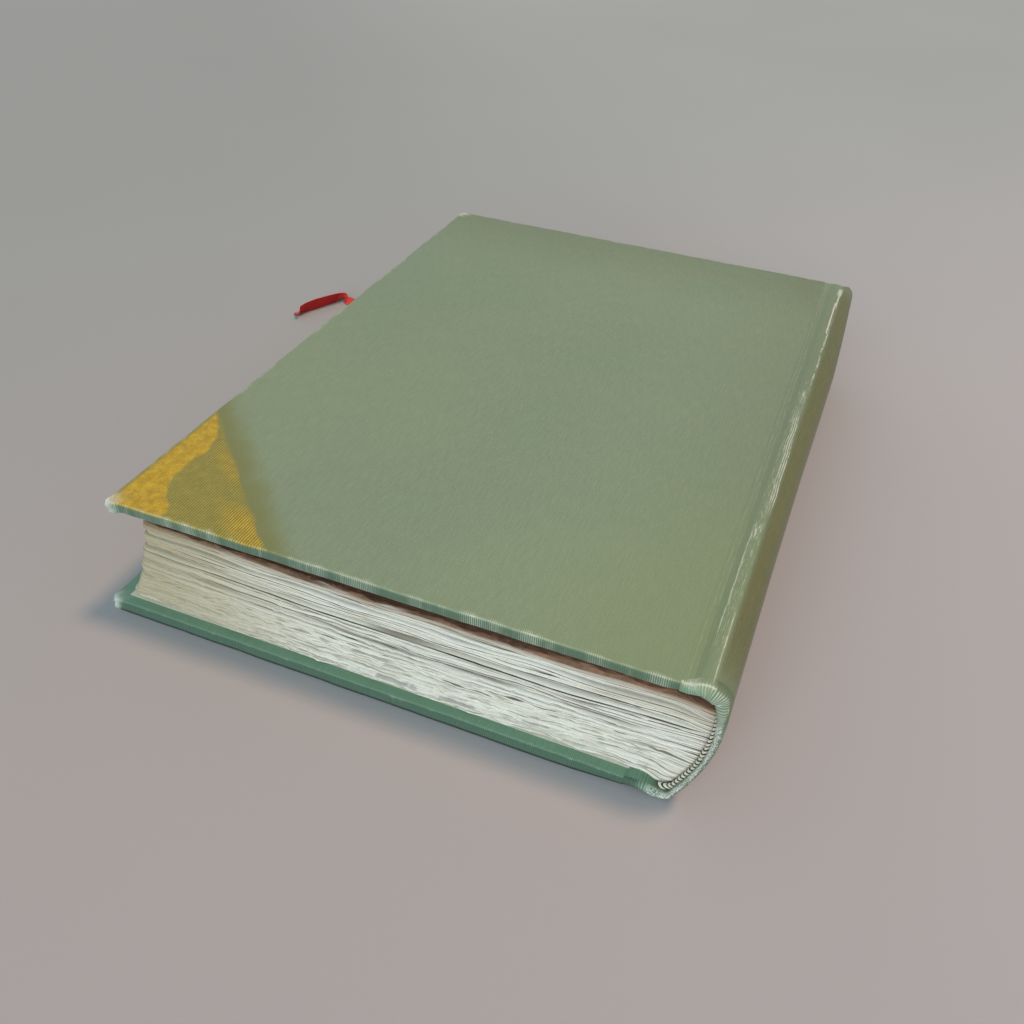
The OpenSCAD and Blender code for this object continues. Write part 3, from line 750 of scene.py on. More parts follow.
def seen_spine_z(u):
    """The upper leaves sag below the shoulder."""
    return spine_z(u) - 5.1 * ease((u - 0.4) / 0.6)


def seen_spine_x(u):
    return float(np.interp(seen_spine_z(u), *zip(*SEEN_BACK)))


def low_bend(u, xs):
    """How far the lowest leaves have dropped round the end of the board, 0 to 1."""
    return ease((xs - seen_spine_x(u) + 2.0 * FLARE) / (1.55 * FLARE))


def corner_in(xs, x0):
    """How far a rounded corner at x0 lies inside the leaf's edge."""
    v = 1 - np.minimum((xs - x0) / CORNER_IN, 1)
    return CORNER_IN * (1 - np.sqrt(np.maximum(1 - v * v, 0)))


def leaf_rows(r):
    """For each leaf the gap below it, then the lower and upper edge of its face.

    A row is its height, bundle, leaf, how far it stands out, roughness and the painted shade of its groove.
    """
    rows = []
    bundle_left, bundle, bundle_out = 0, -1, 0.0
    for i in range(LEAVES):
        high = i / LEAVES
        opening = bundle_left == 0
        if opening:
            bundle += 1
            bundle_left = int(r.integers(2, 7))
            bundle_out = r.uniform(-0.6, 0.6) - (0.6 if r.random() < 0.2 else 0)
        bundle_left -= 1
        rough = 0.07 + 0.2 * ease((0.55 - high) / 0.4) + 0.12 * (r.random() < 0.15) + 0.3 * (high > 0.85)
        out = bundle_out + r.uniform(-0.16, 0.16) + 0.25 * (r.random() < 0.1)
        gap = r.uniform(1.0, 1.9) if opening else 0.3 * r.uniform(0.5, 1.4) + 0.5 * (r.random() < 0.1)
        wide = 0.5 if opening else 0.2
        rows.append((i / LEAVES, bundle, i, out - gap, rough, 1.0 if opening else 0.45))
        rows.append(((i + wide) / LEAVES, bundle, i, out - 0.05, rough, 0.25 if opening else 0.05))
        rows.append(((i + 0.88) / LEAVES, bundle, i, out, rough, 0.0))
    rows.append((1.0, bundle, LEAVES - 1, -0.3, 0.1, 0.3))
    return rows


def make_pages():
    r = np.random.default_rng(3)
    cols, shoulder, fore = 120, 6, 44
    rows = leaf_rows(r)
    bundle_shift = r.uniform(-1, 1, (rows[-1][1] + 1, 3)) * 0.35
    verts = []
    at = {key: [] for key in ("leaf", "run", "groove", "brown", "soft")}
    for u, g, i, out, rough, dip in rows:
        brown_in = 0.8 * ease((u - 0.86) / 0.04)
        x0 = fore_x(u) + brown_in
        sx = seen_spine_x(u)
        b = sx - FLARE
        a = x0 + CORNER_IN
        flat = a + (b - a) * np.arange(1, cols + 1) / cols
        xs = np.concatenate([x0 + CORNER_STEPS, flat, b + FLARE * np.arange(1, shoulder + 1) / shoulder])
        near = ease((sx - xs) / 9)
        inset = 0.6 - EDGE_SWELL * np.sin(math.pi * np.clip((xs - x0) / (sx - x0), 0, 1)) + corner_in(xs, x0)

        def moved(s, edge):
            """How far an edge, 0 for the tail, 1 for the head and 2 for the fore-edge, stands out at s."""
            slow = 0.30 * slow_noise(s, 100 + 3 * g + edge, 4, 0.008, 0.05)
            slow = slow + 0.34 * ease((0.6 - u) / 0.4) * slow_noise(s, 300 + 3 * g + edge, 6, 0.03, 0.2)
            fine = rough * slow_noise(s, 1000 + 7 * i + edge, 6, 0.04, 0.45)
            return bundle_shift[g][edge] + slow + fine + out

        tail_y = END_SQUARE + inset + near * (brown_in * 2.0 - moved(xs, 0))
        head_y = COVER_H - END_SQUARE - inset - near * (brown_in * 2.0 - moved(xs, 1))
        # The leaves part round the ribbon at the head
        head_y -= 5.0 * bell(xs - (RIBBON_X - 9), 6.5) * bell(flat_z(u) - RIBBON_Z, 1.6)
        # Upper leaves fan down over a long way, the lowest drop round the end of the board
        bend = ease((xs - sx + 3 * FLARE) / (3 * FLARE))
        if u <= 0.4:
            low = low_bend(u, xs)
            bend = low + (bend - low) * ease((u - 0.05) / 0.35)
        z = flat_z(u) + (seen_spine_z(u) - flat_z(u)) * bend
        sag = 0.14 * slow_noise(xs, 500 + g, 4, 0.01, 0.06) * near * (0.12 < u < 0.84)
        share = np.arange(1, fore + 1) / (fore + 1)
        ys = tail_y[0] + (head_y[0] - tail_y[0]) * share
        fore_edge = x0 - moved(ys, 2) * np.sin(math.pi * share) ** 0.3
        loop = np.concatenate([
            np.stack([xs, tail_y, z + sag], 1)[::-1],
            np.stack([fore_edge, ys, np.full(fore, float(flat_z(u)))], 1),
            np.stack([xs, head_y, z + sag], 1)])
        verts.append(loop)
        n = len(loop)
        at["leaf"].append(np.full(n, u * PAGES_T))
        at["run"].append(np.concatenate([xs[::-1], -ys * 0.8, 200 + xs]))
        at["groove"].append(np.full(n, dip))
        edge = 0.85 - 0.012 * ease((loop[:, 0] - 40) / 120)
        edge = edge + 0.008 * slow_noise(loop[:, 0] + loop[:, 1], 77, 5, 0.02, 0.15)
        at["brown"].append(np.maximum(ease((u - edge) / 0.014), 0.45 * ease((u - edge + 0.07) / 0.07)))
        at["soft"].append(ease((0.45 - u) / 0.3) * np.ones(n))
    faces = grid_faces(len(rows), n, wrap=True, flip=True).tolist()
    # The lowest and the highest leaf are closed with strips from tail to head
    k = (n - fore) // 2
    for base, flip in ((0, False), ((len(rows) - 1) * n, True)):
        caps = [[base + j, base + j + 1, base + n - 2 - j, base + n - 1 - j] for j in range(k - 1)]
        caps.append([base + j for j in range(k - 1, n - k + 1)])
        faces += [f[::-1] for f in caps] if flip else caps
    o = new_piece("page_leaves", verts, faces, PAGES, at)
    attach(o, "book_block")
    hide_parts("text_block")


def make_flyleaf(name, node, look, u, s, x_end):
    """A free endpaper with rounded, slightly uneven edges that follows the pages to the hinge line."""
    x0 = fore_x(u) + 0.9
    xs = np.concatenate([
        x0 + pt(*CORNER_STEPS, 4), np.linspace(x0 + 6, x_end - FLARE, 60),
        np.linspace(x_end - FLARE * 0.9, x_end, 8)])
    half = COVER_H / 2 - END_SQUARE - 0.9 - corner_in(xs, x0)
    bent = page_z(u, xs) if s > 0 else flat_z(u) + (seen_spine_z(u) - flat_z(u)) * low_bend(u, xs)
    share = np.linspace(-1, 1, 61)
    rows = []
    for side in (0, 1):
        z = bent + s * (0.03 + side * PAPER_T * 0.8)
        for t in share:
            y = COVER_H / 2 + t * half
            y = y + 0.16 * slow_noise(xs, 31 + int(t > 0), 6, 0.03, 0.3) * ease((abs(t) - 0.8) / 0.2)
            x = xs - 0.15 * slow_noise(y, 33, 6, 0.03, 0.3) * ease(1 - (xs - x0) / 3)
            rows.append(np.stack([x, y, z], 1))
    m, n = len(xs), len(share)
    faces = grid_faces(n, m, flip=True).tolist() + grid_faces(n, m, n * m).tolist()
    ring = [*range(m), *(j * m + m - 1 for j in range(1, n))]
    ring += [*((n - 1) * m + i for i in range(m - 2, -1, -1)), *(j * m for j in range(n - 2, 0, -1))]
    faces += [[a, b, b + n * m, a + n * m] for a, b in zip(ring, ring[1:] + ring[:1])]
    if s < 0:
        faces = [f[::-1] for f in faces]
    o = new_piece(name, rows, faces, look)
    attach(o, "book_block")
    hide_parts(node)


make_flyleaf("front_endleaf", "front_flyleaf", ENDPAPER, 0.0, -1, TIP_LOW[0])
make_flyleaf("back_endleaf", "back_flyleaf", ENDPAPER_BROWN, 1.0, 1, TIP_UP[0])
make_pages()


# Endbands

def make_band(name, node, y, s):
    """Thread wraps round a cord along the pages' back, thinner towards the top. s is 1 at the tail."""
    per, sides = 12, 12
    line = curve_through([(165.6, 1.75), (166.8, 2.0), *[(x + 0.25, z) for z, x in SEEN_BACK[2:]]], 24)
    length = along_line(line)
    n = WRAPS_SEEN * per
    at = np.linspace(0, length[-1], n + 1)
    mid = np.stack([np.interp(at, length, line[:, 0]), np.interp(at, length, line[:, 1])], 1)
    along = np.gradient(mid, axis=0)
    along /= np.linalg.norm(along, axis=1)[:, None]
    thin = np.interp(mid[:, 1], [4, 20, 29, 36], [1.0, 0.94, 0.75, 0.5])
    verts, dark, turn = [], [], []
    size = np.random.default_rng(17).uniform(0.9, 1.08, WRAPS_SEEN + 1)
    for k in range(n + 1):
        f = (k % per) / per
        rad = BAND_D / 2 * ((0.74 + 0.3 * math.sin(math.pi * f) ** 0.7) * size[k // per]) * thin[k]
        out = pt(along[k, 1], -along[k, 0])
        for j in range(sides):
            b = 2 * math.pi * j / sides
            c = mid[k] + out * rad * math.cos(b) + along[k] * 0.75 * math.cos(b)
            verts.append((c[0], y + s * rad * math.sin(b), max(c[1], 0.4)))
            # Painted shade: dark in the gaps between wraps, and a dark line down the outer side next to the
            # lip
            dark.append(1.0 if f < 0.12 or f > 0.8 else 0.85 * (math.cos(b) > 0.8))
            turn.append(f + b * 0.3)
    faces = grid_faces(n + 1, sides, wrap=True, flip=s < 0).tolist()
    ends = [[*range(sides)], [*range((n + 1) * sides - 1, n * sides - 1, -1)]]
    faces += [f[::-1] for f in ends] if s > 0 else ends
    o = new_piece(name, verts, faces, BAND, {"dark": dark, "turn": turn})
    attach(o, "book_block")
    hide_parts(node)


make_band("tail_endband", "tail_band", END_SQUARE + 0.1 - BAND_D / 2, 1)
make_band("head_endband", "head_band", COVER_H - END_SQUARE - 0.1 + BAND_D / 2, -1)


# Covers

# What differs between the covers: noise seed, bumps along the edges, how far the corners are swollen anywhere
# and at the tail, their lumps, how faded the sides are, and how rubbed
OWN = ("seed", "bumps", "swollen", "at_tail", "lumps", "side_fade", "rubbed")
UPPER = dict(zip(OWN, (40, 1.0, 0.3, 1.1, 1.0, 0.4, 0.4)))
LOWER = dict(zip(OWN, (60, 0.55, 0.1, 0.15, 0.6, 0.05, 0.22)))


def cover_rings():
    """Inset from the outline and depth below the outer face, from the turned-in edge round to the face."""
    quarter = [math.radians(a) for a in np.linspace(0, 90, 6)]
    rings = [(inset, COVER_T) for inset in (15.0, 9.0, 4.5, 2.4, 1.3)]
    rings += [(FOOT_R - FOOT_R * math.sin(a), COVER_T - FOOT_R + FOOT_R * math.cos(a)) for a in quarter]
    rings += [(0.0, depth) for depth in (1.9, 1.4, 0.95)]
    rings += [(ARRIS_R - ARRIS_R * math.sin(a), ARRIS_R - ARRIS_R * math.cos(a)) for a in quarter[::-1]]
    return rings + [(inset, 0.0) for inset in (0.8, 1.3, 1.9, 2.8, 4.0, 6.0)]


def inset_loop(base, inset, last, x_end):
    """The innermost ring's loop, spread out to another inset and rounded at the two corners."""
    p = base.copy()
    sx = (x_end - inset) / (x_end - last)
    sy = (COVER_H / 2 - inset) / (COVER_H / 2 - last)
    p[:, 0] = x_end - (x_end - p[:, 0]) * sx
    p[:, 1] = COVER_H / 2 + (p[:, 1] - COVER_H / 2) * sy
    rad = CORNER_R + 0.8 - inset
    if rad > 0:
        for cy, sign in ((inset + rad, -1), (COVER_H - inset - rad, 1)):
            c = pt(inset + rad, cy)
            inside = (p[:, 0] < c[0]) & ((p[:, 1] - c[1]) * sign > 0)
            v = p[inside] - c
            p[inside] = c + v / np.linalg.norm(v, axis=1)[:, None] * rad
    return p


def top_faces(nx, ny, start):
    """Quads over the cover's face, between the last ring, from start, and the grid of points after it."""
    index = np.zeros((nx + 1, ny + 1), int)
    index[:, 0] = start + np.arange(nx, -1, -1)
    index[0, 1:-1] = start + nx + 1 + np.arange(ny - 1)
    index[:, -1] = start + nx + ny + np.arange(nx + 1)
    index[1:, 1:-1] = np.arange(nx * (ny - 1)).reshape(nx, ny - 1) + start + 2 * nx + ny + 1
    return np.stack([index[:-1, :-1], index[1:, :-1], index[1:, 1:], index[:-1, 1:]], -1).reshape(-1, 4)


def make_cover(name, node, body, look, upper):
    own = UPPER if upper else LOWER
    seed = own["seed"]
    x_end = COVER_W - 0.2
    rings = cover_rings()
    last = rings[-1][0]
    # Closer steps near the corners, for their frayed lumps
    near = np.arange(0, 4.8, 0.4)
    xs = last + np.concatenate([near, np.linspace(5, x_end - last, 122)])
    ys = np.concatenate([
        last + near, np.linspace(last + 5, COVER_H - last - 5, 150), COVER_H - last - near[::-1]])
    nx, ny = len(xs) - 1, len(ys) - 1
    # The loop runs from the joint along the tail, up the fore-edge and back along the head
    base = np.concatenate([
        np.stack([xs[::-1], np.full(nx + 1, last)], 1),
        np.stack([np.full(ny - 1, last), ys[1:-1]], 1),
        np.stack([xs, np.full(nx + 1, COVER_H - last)], 1)])
    along_fore = base[:, 0] <= last + 1e-6
    flat_to_joint = ease((x_end - base[:, 0]) / 4)
    from_corner = np.hypot(base[:, 0] - last, np.minimum(base[:, 1] - last, COVER_H - last - base[:, 1]))
    corner_near = np.exp(-(from_corner / 3.0) ** 3)
    lengths = along_line(np.array(rings))
    lengths += last - lengths[-1]
    verts = []
    at = {key: [] for key in ("rib", "run", "fade", "wear", "painted_shade", "fuzz")}
    for (inset, depth), s in zip(rings, lengths):
        p = inset_loop(base, inset, last, x_end)
        q = np.stack([p[:, 0], p[:, 1], np.full(len(p), depth)], 1)
        # Soft dents along the edges, and swollen, frayed corners
        on_edge = math.exp(-max(inset - 1.0, 0) / 1.2)
        bumps = (lattice_noise(q, 2.2, seed) * 0.07 + lattice_noise(q, 9.0, seed + 1) * 0.12) * own["bumps"]
        side = np.where(p[:, 1] < COVER_H / 2, 1.0, -1.0)
        push = bumps * flat_to_joint * on_edge
        q[:, 1] += np.where(along_fore, 0, side * push)
        q[:, 0] += np.where(along_fore, push, 0)
        at_tail = ease((COVER_H / 2 - p[:, 1]) / 40)
        at_corner = corner_near * on_edge
        out_by = at_corner * (own["swollen"] + own["at_tail"] * at_tail)
        lumps = lattice_noise(q, 1.0, seed + 2) * 0.4 + lattice_noise(q, 0.5, seed + 3) * 0.3
        lumps = lumps * at_corner * own["lumps"]
        q[:, 0] -= out_by + lumps
        q[:, 1] -= side * (0.6 * out_by + lumps)
        swell = 0.17 * math.exp(-(inset / 2.2) ** 2) * flat_to_joint + at_corner * 0.25 * at_tail
        if upper:
            # The turned edge is thicker than the board, and the corner bends down a little
            q[:, 2] = q[:, 2] * (1 + swell) + lumps * 0.6 + 0.35 * at_corner * at_tail
        else:
            # The foot spreads out where it rests, and runs out softly towards the joint
            low = ease(1 - depth / 2.4) * on_edge * ease((x_end - base[:, 0]) / 16)
            q[:, 1] -= np.where(along_fore, 0, side * 0.75 * low)
            q[:, 0] -= np.where(along_fore, 0.4 * low, 0)
            q[:, 2] = np.maximum(q[:, 2] * (1 + 0.4 * swell) + lumps * 0.4, 0)
        verts.append(q)
        at["rib"].append(np.where(along_fore, s, p[:, 0]))
        at["run"].append(np.where(along_fore, p[:, 1], np.where(p[:, 1] < COVER_H / 2, s, COVER_H - s)))
        face = ease((0.75 - depth) / 0.5)
        # Painted shade: the sides stay darker than the faces, and the lower board's foot is in its own shade
        side_on = ease((0.9 - inset) / 0.6) * ease((COVER_T - depth) / 0.3)
        if upper:
            dark = 0.46 * (side_on * ease((depth - 0.25) / 0.35))
        else:
            dark = max(0.56 * side_on, 0.9 * ease((1.15 - depth) / 0.45) * on_edge)
        at["painted_shade"].append(dark * (1 - corner_near))
        at["fuzz"].append(at_corner)
        at["fade"].append(np.full(len(p), face + (1 - face) * own["side_fade"]))
        # Worn arrises: a narrow pale line on both, with ticks that reach onto the face
        along = p[:, 0] + p[:, 1]
        sharp = math.exp(-((inset - 0.12) / 0.3) ** 2 - (min(depth, COVER_T - depth) / 0.7) ** 2)
        ticks = 0.5 * math.exp(-((inset - 0.5) / 1.0) ** 2) if depth < 0.05 else 0
        rubbed = own["rubbed"] * (1 - face) * on_edge * 1.4
        worn = np.clip(0.62 + 0.6 * slow_noise(along, seed + 9, 8, 0.02, 0.4), 0.15, 1.25)
        worn = worn * max(sharp, ticks, rubbed)
        if not upper:
            patches = 0.35 + 0.4 * ease(slow_noise(along, 71, 8, 0.05, 0.5))
            worn = worn * ease((depth - 0.9) / 0.5) * patches
        at["wear"].append(np.clip(worn * flat_to_joint**0.3 + at_corner * 1.6, 0, 1.25))
    n = len(base)
    faces = np.concatenate([
        grid_faces(len(rings), n, flip=True), top_faces(nx, ny, (len(rings) - 1) * n)])
    gx, gy = np.meshgrid(xs[1:], ys[1:-1], indexing="ij")
    top = np.stack([gx.ravel(), gy.ravel(), np.zeros(gx.size)], 1)
    verts.append(top)
    at["rib"].append(top[:, 0])
    at["run"].append(top[:, 1])
    at["fade"].append(np.ones(len(top)))
    for key in ("wear", "painted_shade", "fuzz"):
        at[key].append(np.zeros(len(top)))
    v = stacked(verts)
    # A slight wave over the whole face
    from_ends = np.minimum(v[:, 1], COVER_H - v[:, 1])
    inner = ease((x_end - v[:, 0]) / 20) * ease(v[:, 0] / 12) * ease(from_ends / 12)
    v[:, 2] += np.where(v[:, 2] < COVER_T / 2, 0.10 * lattice_noise(v, 38.0, seed + 5), 0) * inner
    at["olive"] = 0.3 * ease((v[:, 1] - 190) / 60) + 0.22 * ease((v[:, 0] - 120) / 60)
    if upper:
        v[:, 2] = TOTAL_T - v[:, 2]
    else:
        v[:, 0] -= SLIP
        at["fade"] = stacked(at["fade"]) * 0.8
        faces = faces[:, ::-1]
    o = new_piece(name, v, faces, look, at)
    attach(o, body)
    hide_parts(node)


make_cover("back_cover_cloth", "back_cloth", "back_cover", CLOTH_BACK, True)
make_cover("front_cover_cloth", "front_cloth", "front_cover", CLOTH_FRONT, False)


# Joints and spine

# Shares of RIDGE_W across and RIDGE_RISE up, from the upper groove, and of RIDGE_W from the pages' lower tip
RIDGE_SHAPE = (0.12, -0.2), (0.21, 0.6), (0.35, 0.95), (0.54, 1), (0.74, 0.7), (0.96, 0)
FOOT_SHAPE = (0.46, 0.2), (0.32, 0.05), (0.14, 0), (-0.05, 0), (-0.24, 0.04)


def joint_fall(w):
    return np.linspace(COVER_W - 0.2, COVER_W + w, 9), JOINT_D * ease(np.linspace(0, 1, 9))


def spine_outline():
    """The cloth's outer face in XZ, from the upper board's edge over the ridge to the lower board's."""
    ux, ud = joint_fall(JOINT_W)
    upper = np.stack([ux, TOTAL_T - ud], 1)
    lx, ld = joint_fall(JOINT_W + JOINT_STRETCH)
    lower = np.stack([lx - SLIP, ld], 1)[::-1]
    ridge = [(GROOVE_UP + HINGE_GAP, TOTAL_T - JOINT_D)]
    ridge += [(GROOVE_UP + a * RIDGE_W, TOTAL_T + b * RIDGE_RISE) for a, b in RIDGE_SHAPE]
    a0, a1 = direction(SPINE_C, BEND_UP), direction(SPINE_C, BEND_LOW)
    arc = [SPINE_C + SPINE_R * pt(math.cos(a), math.sin(a)) for a in np.linspace(a0, a1, 13)]
    foot = [TIP_LOW * pt(1, 0) + RIDGE_W * pt(a, b) for a, b in FOOT_SHAPE]
    spine = curve_through([*ridge, *arc, *foot, (GROOVE_LOW + HINGE_GAP, JOINT_D)], 6)
    spine[:, 1] = np.maximum(spine[:, 1], 0.0)
    line = np.concatenate([upper, spine, lower])
    s = along_line(line)
    # Closer steps over the joint and ridge, where the shape is tight
    middle = np.linspace(16, s[-1] - 16, 70)[:-1]
    even = np.concatenate([np.linspace(0, 16, 62)[:-1], middle, np.linspace(s[-1] - 16, s[-1], 46)])
    return np.stack([np.interp(even, s, line[:, 0]), np.interp(even, s, line[:, 1])], 1), even


def case_stations():
    """Rows of cloth from tail to head: up inside the turn, round the roll in degrees, then outside."""
    outer = np.concatenate([[1.3, 2.0, 3.0, 4.5], np.linspace(6.5, COVER_H / 2, 70)])
    near_end = [("in", v) for v in (12.0, 8.0, 5.0, 3.4, 2.2, 1.3)]
    near_end += [("roll", a) for a in np.linspace(180, 0, 13)] + [("out", v) for v in outer]
    return [(kind, v, 1) for kind, v in near_end] + [(kind, v, -1) for kind, v in near_end[-2::-1]]


def roll_sizes(s, ridge_s, corner_s, total):
    """Thickness of the rolled edge, how far back it starts, how far it bulges and how square it is.

    The roll is fullest over the ridge's shoulder, where it is a flat face below a sharp fold.
    """
    at = [0, 2.5, 5, ridge_s, *(corner_s + d for d in (-1.5, 1.5, 3.5, 6, 9, 12.5, 16.5, 20.5, 25)),
          *(total - d for d in (16, 12, 8, 4, 0))]
    thick = [3.4, 3.6, 4.2, 5.0, 5.3, 4.6, 3.6, 2.9, 2.6, 2.1, 1.8, 1.6, 1.5, 1.5, 1.7, 2.0, 2.4, 3.0]
    back = [1.2, 2.0, 2.6, 2.9, 2.8, 2.2, 1.6, 1.3, 1.1, 1.0, 0.9, 0.8, 0.8, 0.8, 0.8, 1.0, 0.9, 0.7]
    bulge = [0.3, 0.5, 0.7, 0.8, 0.8, 0.6, 0.4, 0.3, 0.25, 0.2, 0.1, 0.1, 0.1, 0.1, 0.4, 0.8, 0.4, 0]
    square = [0.6, 0.55, 0.5, 0.5, 0.55, 0.8, 1.0, *[1.0] * 11]
    return [np.interp(s, at, sizes) for sizes in (thick, back, bulge, square)]


def case_line(base, s, book_y, ridge_s, corner_s, total):
    """The outline as it is at one place along the book, where ridge, joint and lean differ."""
    # The ridge stands highest at the tail and the joint is deepest there
    rise = np.interp(book_y, [0, 8, 40, 120, 200, 240], [1.1, 1.02, 0.85, 0.65, 0.4, 0.28])
    fall = np.interp(book_y, [0, 2, 8, 30, 120, 240], [0.08, 0.12, 0.18, 0.15, 0.12, 0.08])
    lean = np.interp(book_y, [0, 60, 110, 150, 180, 205, 225, 240], [0, 0, 0.3, 0.9, 1.2, 0.7, 0.1, -0.3])
    line = base.copy()
    above = line[:, 1] - TOTAL_T
    line[:, 1] = np.where((s < corner_s) & (above > 0), TOTAL_T + above * rise, line[:, 1])
    slope = above.max() * rise * ease((s - 0.8) / (ridge_s - 0.8)) - JOINT_D * fall * bell(s - 2.2, 0.9)
    line[:, 1] = np.where(s < ridge_s, TOTAL_T + slope * ease(s / 0.8), line[:, 1])
    return line, lean


def cut_skin(v, faces, values, s, ridge_s):
    """The spine's skin as three pieces, cut at the ridges, with the whole skin's normals kept at the cuts."""
    whole = bpy.data.meshes.new("whole_skin")
    whole.from_pydata(v.tolist(), [], faces.tolist())
    whole.update()
    normal = np.zeros(len(v) * 3, np.float32)
    whole.vertices.foreach_get("normal", normal)
    normal = normal.reshape(-1, 3)
    bpy.data.meshes.remove(whole)
    top_ridge = int(np.argmin(abs(s - ridge_s)))
    low_ridge = int(np.argmin(abs(s - (s[-1] - 8.5))))
    column = np.arange(len(faces)) % (len(s) - 1)
    for name, c0, c1, slot in (
        ("back_joint_cloth", 0, top_ridge, "cloth_back"),
        ("spine_cloth_skin", top_ridge, low_ridge, "cloth_spine"),
        ("front_joint_cloth", low_ridge, len(s) - 1, "cloth_front"),
    ):
        keep = faces[(column >= c0) & (column < c1)]
        used = np.unique(keep)
        remap = np.zeros(len(v), int)
        remap[used] = np.arange(len(used))
        o = new_piece(name, v[used], remap[keep], CLOTH_SPINE, {k: a[used] for k, a in values.items()})
        o.data.normals_split_custom_set_from_vertices(normal[used].tolist())
        if name == "spine_cloth_skin":
            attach(o, "book_block")
            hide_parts("spine_cloth")
        else:
            body = "back_cover" if name == "back_joint_cloth" else "front_cover"
            a, b = v[used][:, 0].min(), v[used][:, 0].max()
            z = TOTAL_T if body == "back_cover" else 0
            start, stop = to_frame((a + 0.6, 0, z)), to_frame((b - 0.2, 0, z))
            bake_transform(o)


def make_case():
    """One smooth skin over both joints and the spine, rolled in at head and tail."""
    base, s = spine_outline()
    total = s[-1]
    corner_s = s[int(np.argmin(np.hypot(base[:, 0] - BEND_UP[0], base[:, 1] - BEND_UP[1])))]
    ridge_s = s[int(np.argmax(base[:, 1]))]
    roll_t, roll_near, bulge_near, squared = roll_sizes(s, ridge_s, corner_s, total)
    tuck = 0.7 + 2.4 * ease(1 - s / 3) + 2.3 * ease((s - total + 8.2) / 6)
    # Stretches along the outline: the shoulder's fold, the spine's side, beside the endband, and the foot
    fold_zone = ease((ridge_s + 3 - s) / 2)
    side = ease((s - ridge_s - 0.2) / 2.0) * ease((total - 5 - s) / 6)
    beside = ease((s - corner_s - 1) / 4) * ease((total - 7 - s) / 4)
    shoulder = ease((s - 3) / 3) * ease((corner_s + 3 - s) / 5)
    near_foot = ease((s - total + 7) / 4)
    fluffy = ease((s - corner_s - 5) / 5) * ease((total - 5 - s) / 2)
    lip_from = 0.1 + 0.45 * ease((s - corner_s - 3) / 4)
    lip_level = np.interp(s, [0, corner_s - 2, corner_s + 4, corner_s + 12, total - 12, total - 8, total],
                          [0.35, 0.62, 0.72, 0.85, 0.85, 0.6, 0.35])
    pulled = ease((s - 2) / 3) * ease((corner_s + 10 - s) / 6)
    verts = []
    at = {key: [] for key in ("rib", "run", "fade", "wear", "olive", "fuzz", "painted_shade")}
    for kind, v, end in case_stations():
        roll_y, bulge = roll_near, bulge_near
        if end < 0:
            # The head end, hardly handled, is turned in much tighter
            roll_y, bulge = 0.75 + 0.3 * (roll_near - 0.75), 0.2 * bulge_near
        more = roll_y - 0.9
        if kind == "out":
            depth, y = 0 * s, v + more * math.exp(-(v - 0.9) / 3)
        elif kind == "in":
            depth = tuck + (roll_t - tuck) * (1 - ease((v - 1.3) / 3.0))
            y = v + more * math.exp(-(v - 0.9) / 3)
        else:
            a = math.radians(v)
            depth = roll_t / 2 * (1 - math.cos(a))
            full = 0.85 + 0.3 * v / 180 - 0.15 * (v / 180) ** 2
            y = roll_y - (roll_y + bulge) * max(math.sin(a), 0) ** squared * full
        line, lean = case_line(base, s, y if end > 0 else COVER_H - y, ridge_s, corner_s, total)
        lean = lean - (0.5 * decay(y, 1.2) if end < 0 else 0)
        line[:, 0] += lean * ease((s - ridge_s) / 5) * ease((total - 10 - s) / 20)
        d = np.gradient(line, axis=0)
        inward = np.stack([d[:, 1], -d[:, 0]], 1) / np.linalg.norm(d, axis=1)[:, None]
        p = np.stack([line[:, 0] + inward[:, 0] * depth, y, line[:, 1] + inward[:, 1] * depth], 1)
        q = np.stack([s, depth * 0.5, 0 * s + 7 * end], 1)
        fold = (lattice_noise(q, 1.3, 91) * 0.16 + lattice_noise(q, 5.0, 92) * 0.4) * decay(y, 1.6)
        p[:, 1] -= fold * ease(s / 4) * ease((total - s) / 4)
        if end < 0:
            p[:, 1] = COVER_H - p[:, 1]
        p[:, 2] = np.maximum(p[:, 2], 0.0)
        verts.append(p)

        # The ribs fan out over the shoulder, where the cloth is pulled round
        fan = 0.35 * (1 - ease((y - 0.8) / 3.5)) * pulled
        at["rib"].append(base[0][0] + ridge_s + (s - ridge_s) * (1 - fan))
        out = kind == "out"
        run = y if out else -depth
        at["run"].append(run if end > 0 else COVER_H - run)
        # Painted shade in the foot and down the side, which lightens as the roll turns up
        foot_shade = near_foot * (0.5 + 0.38 * ease((1.15 - depth) / 0.45)) * (kind == "roll")
        side_shade = side * (0.34 * (1 - ease((y - 0.5) / 4.5)) * out)
        if kind == "roll":
            side_shade = side * float(np.interp(v, [0, 60, 120, 180], [0.34, 0.3, 0.16, 0.1]))
        at["painted_shade"].append(np.maximum(foot_shade, side_shade))
        # The inside of the turn never faded, but the lip beside the endband did
        turned = {"out": 0.0, "in": 1.0}.get(kind, float(ease((v - 25) / 90)))
        fade = np.clip(1 - turned * (1 - 0.55 * shoulder) * (1 - 0.75 * beside), 0, 1)
        at["fade"].append(fade * (1 - 0.3 * decay(y, 2.5) * side))
        at["olive"].append(np.clip((0.3 + 0.7 * side) * (1 - 0.7 * decay(y, 7.0)), 0, 1))
        at["fuzz"].append(fluffy * (1 - ease((y - 0.9) / 1.5)) * (kind == "roll"))
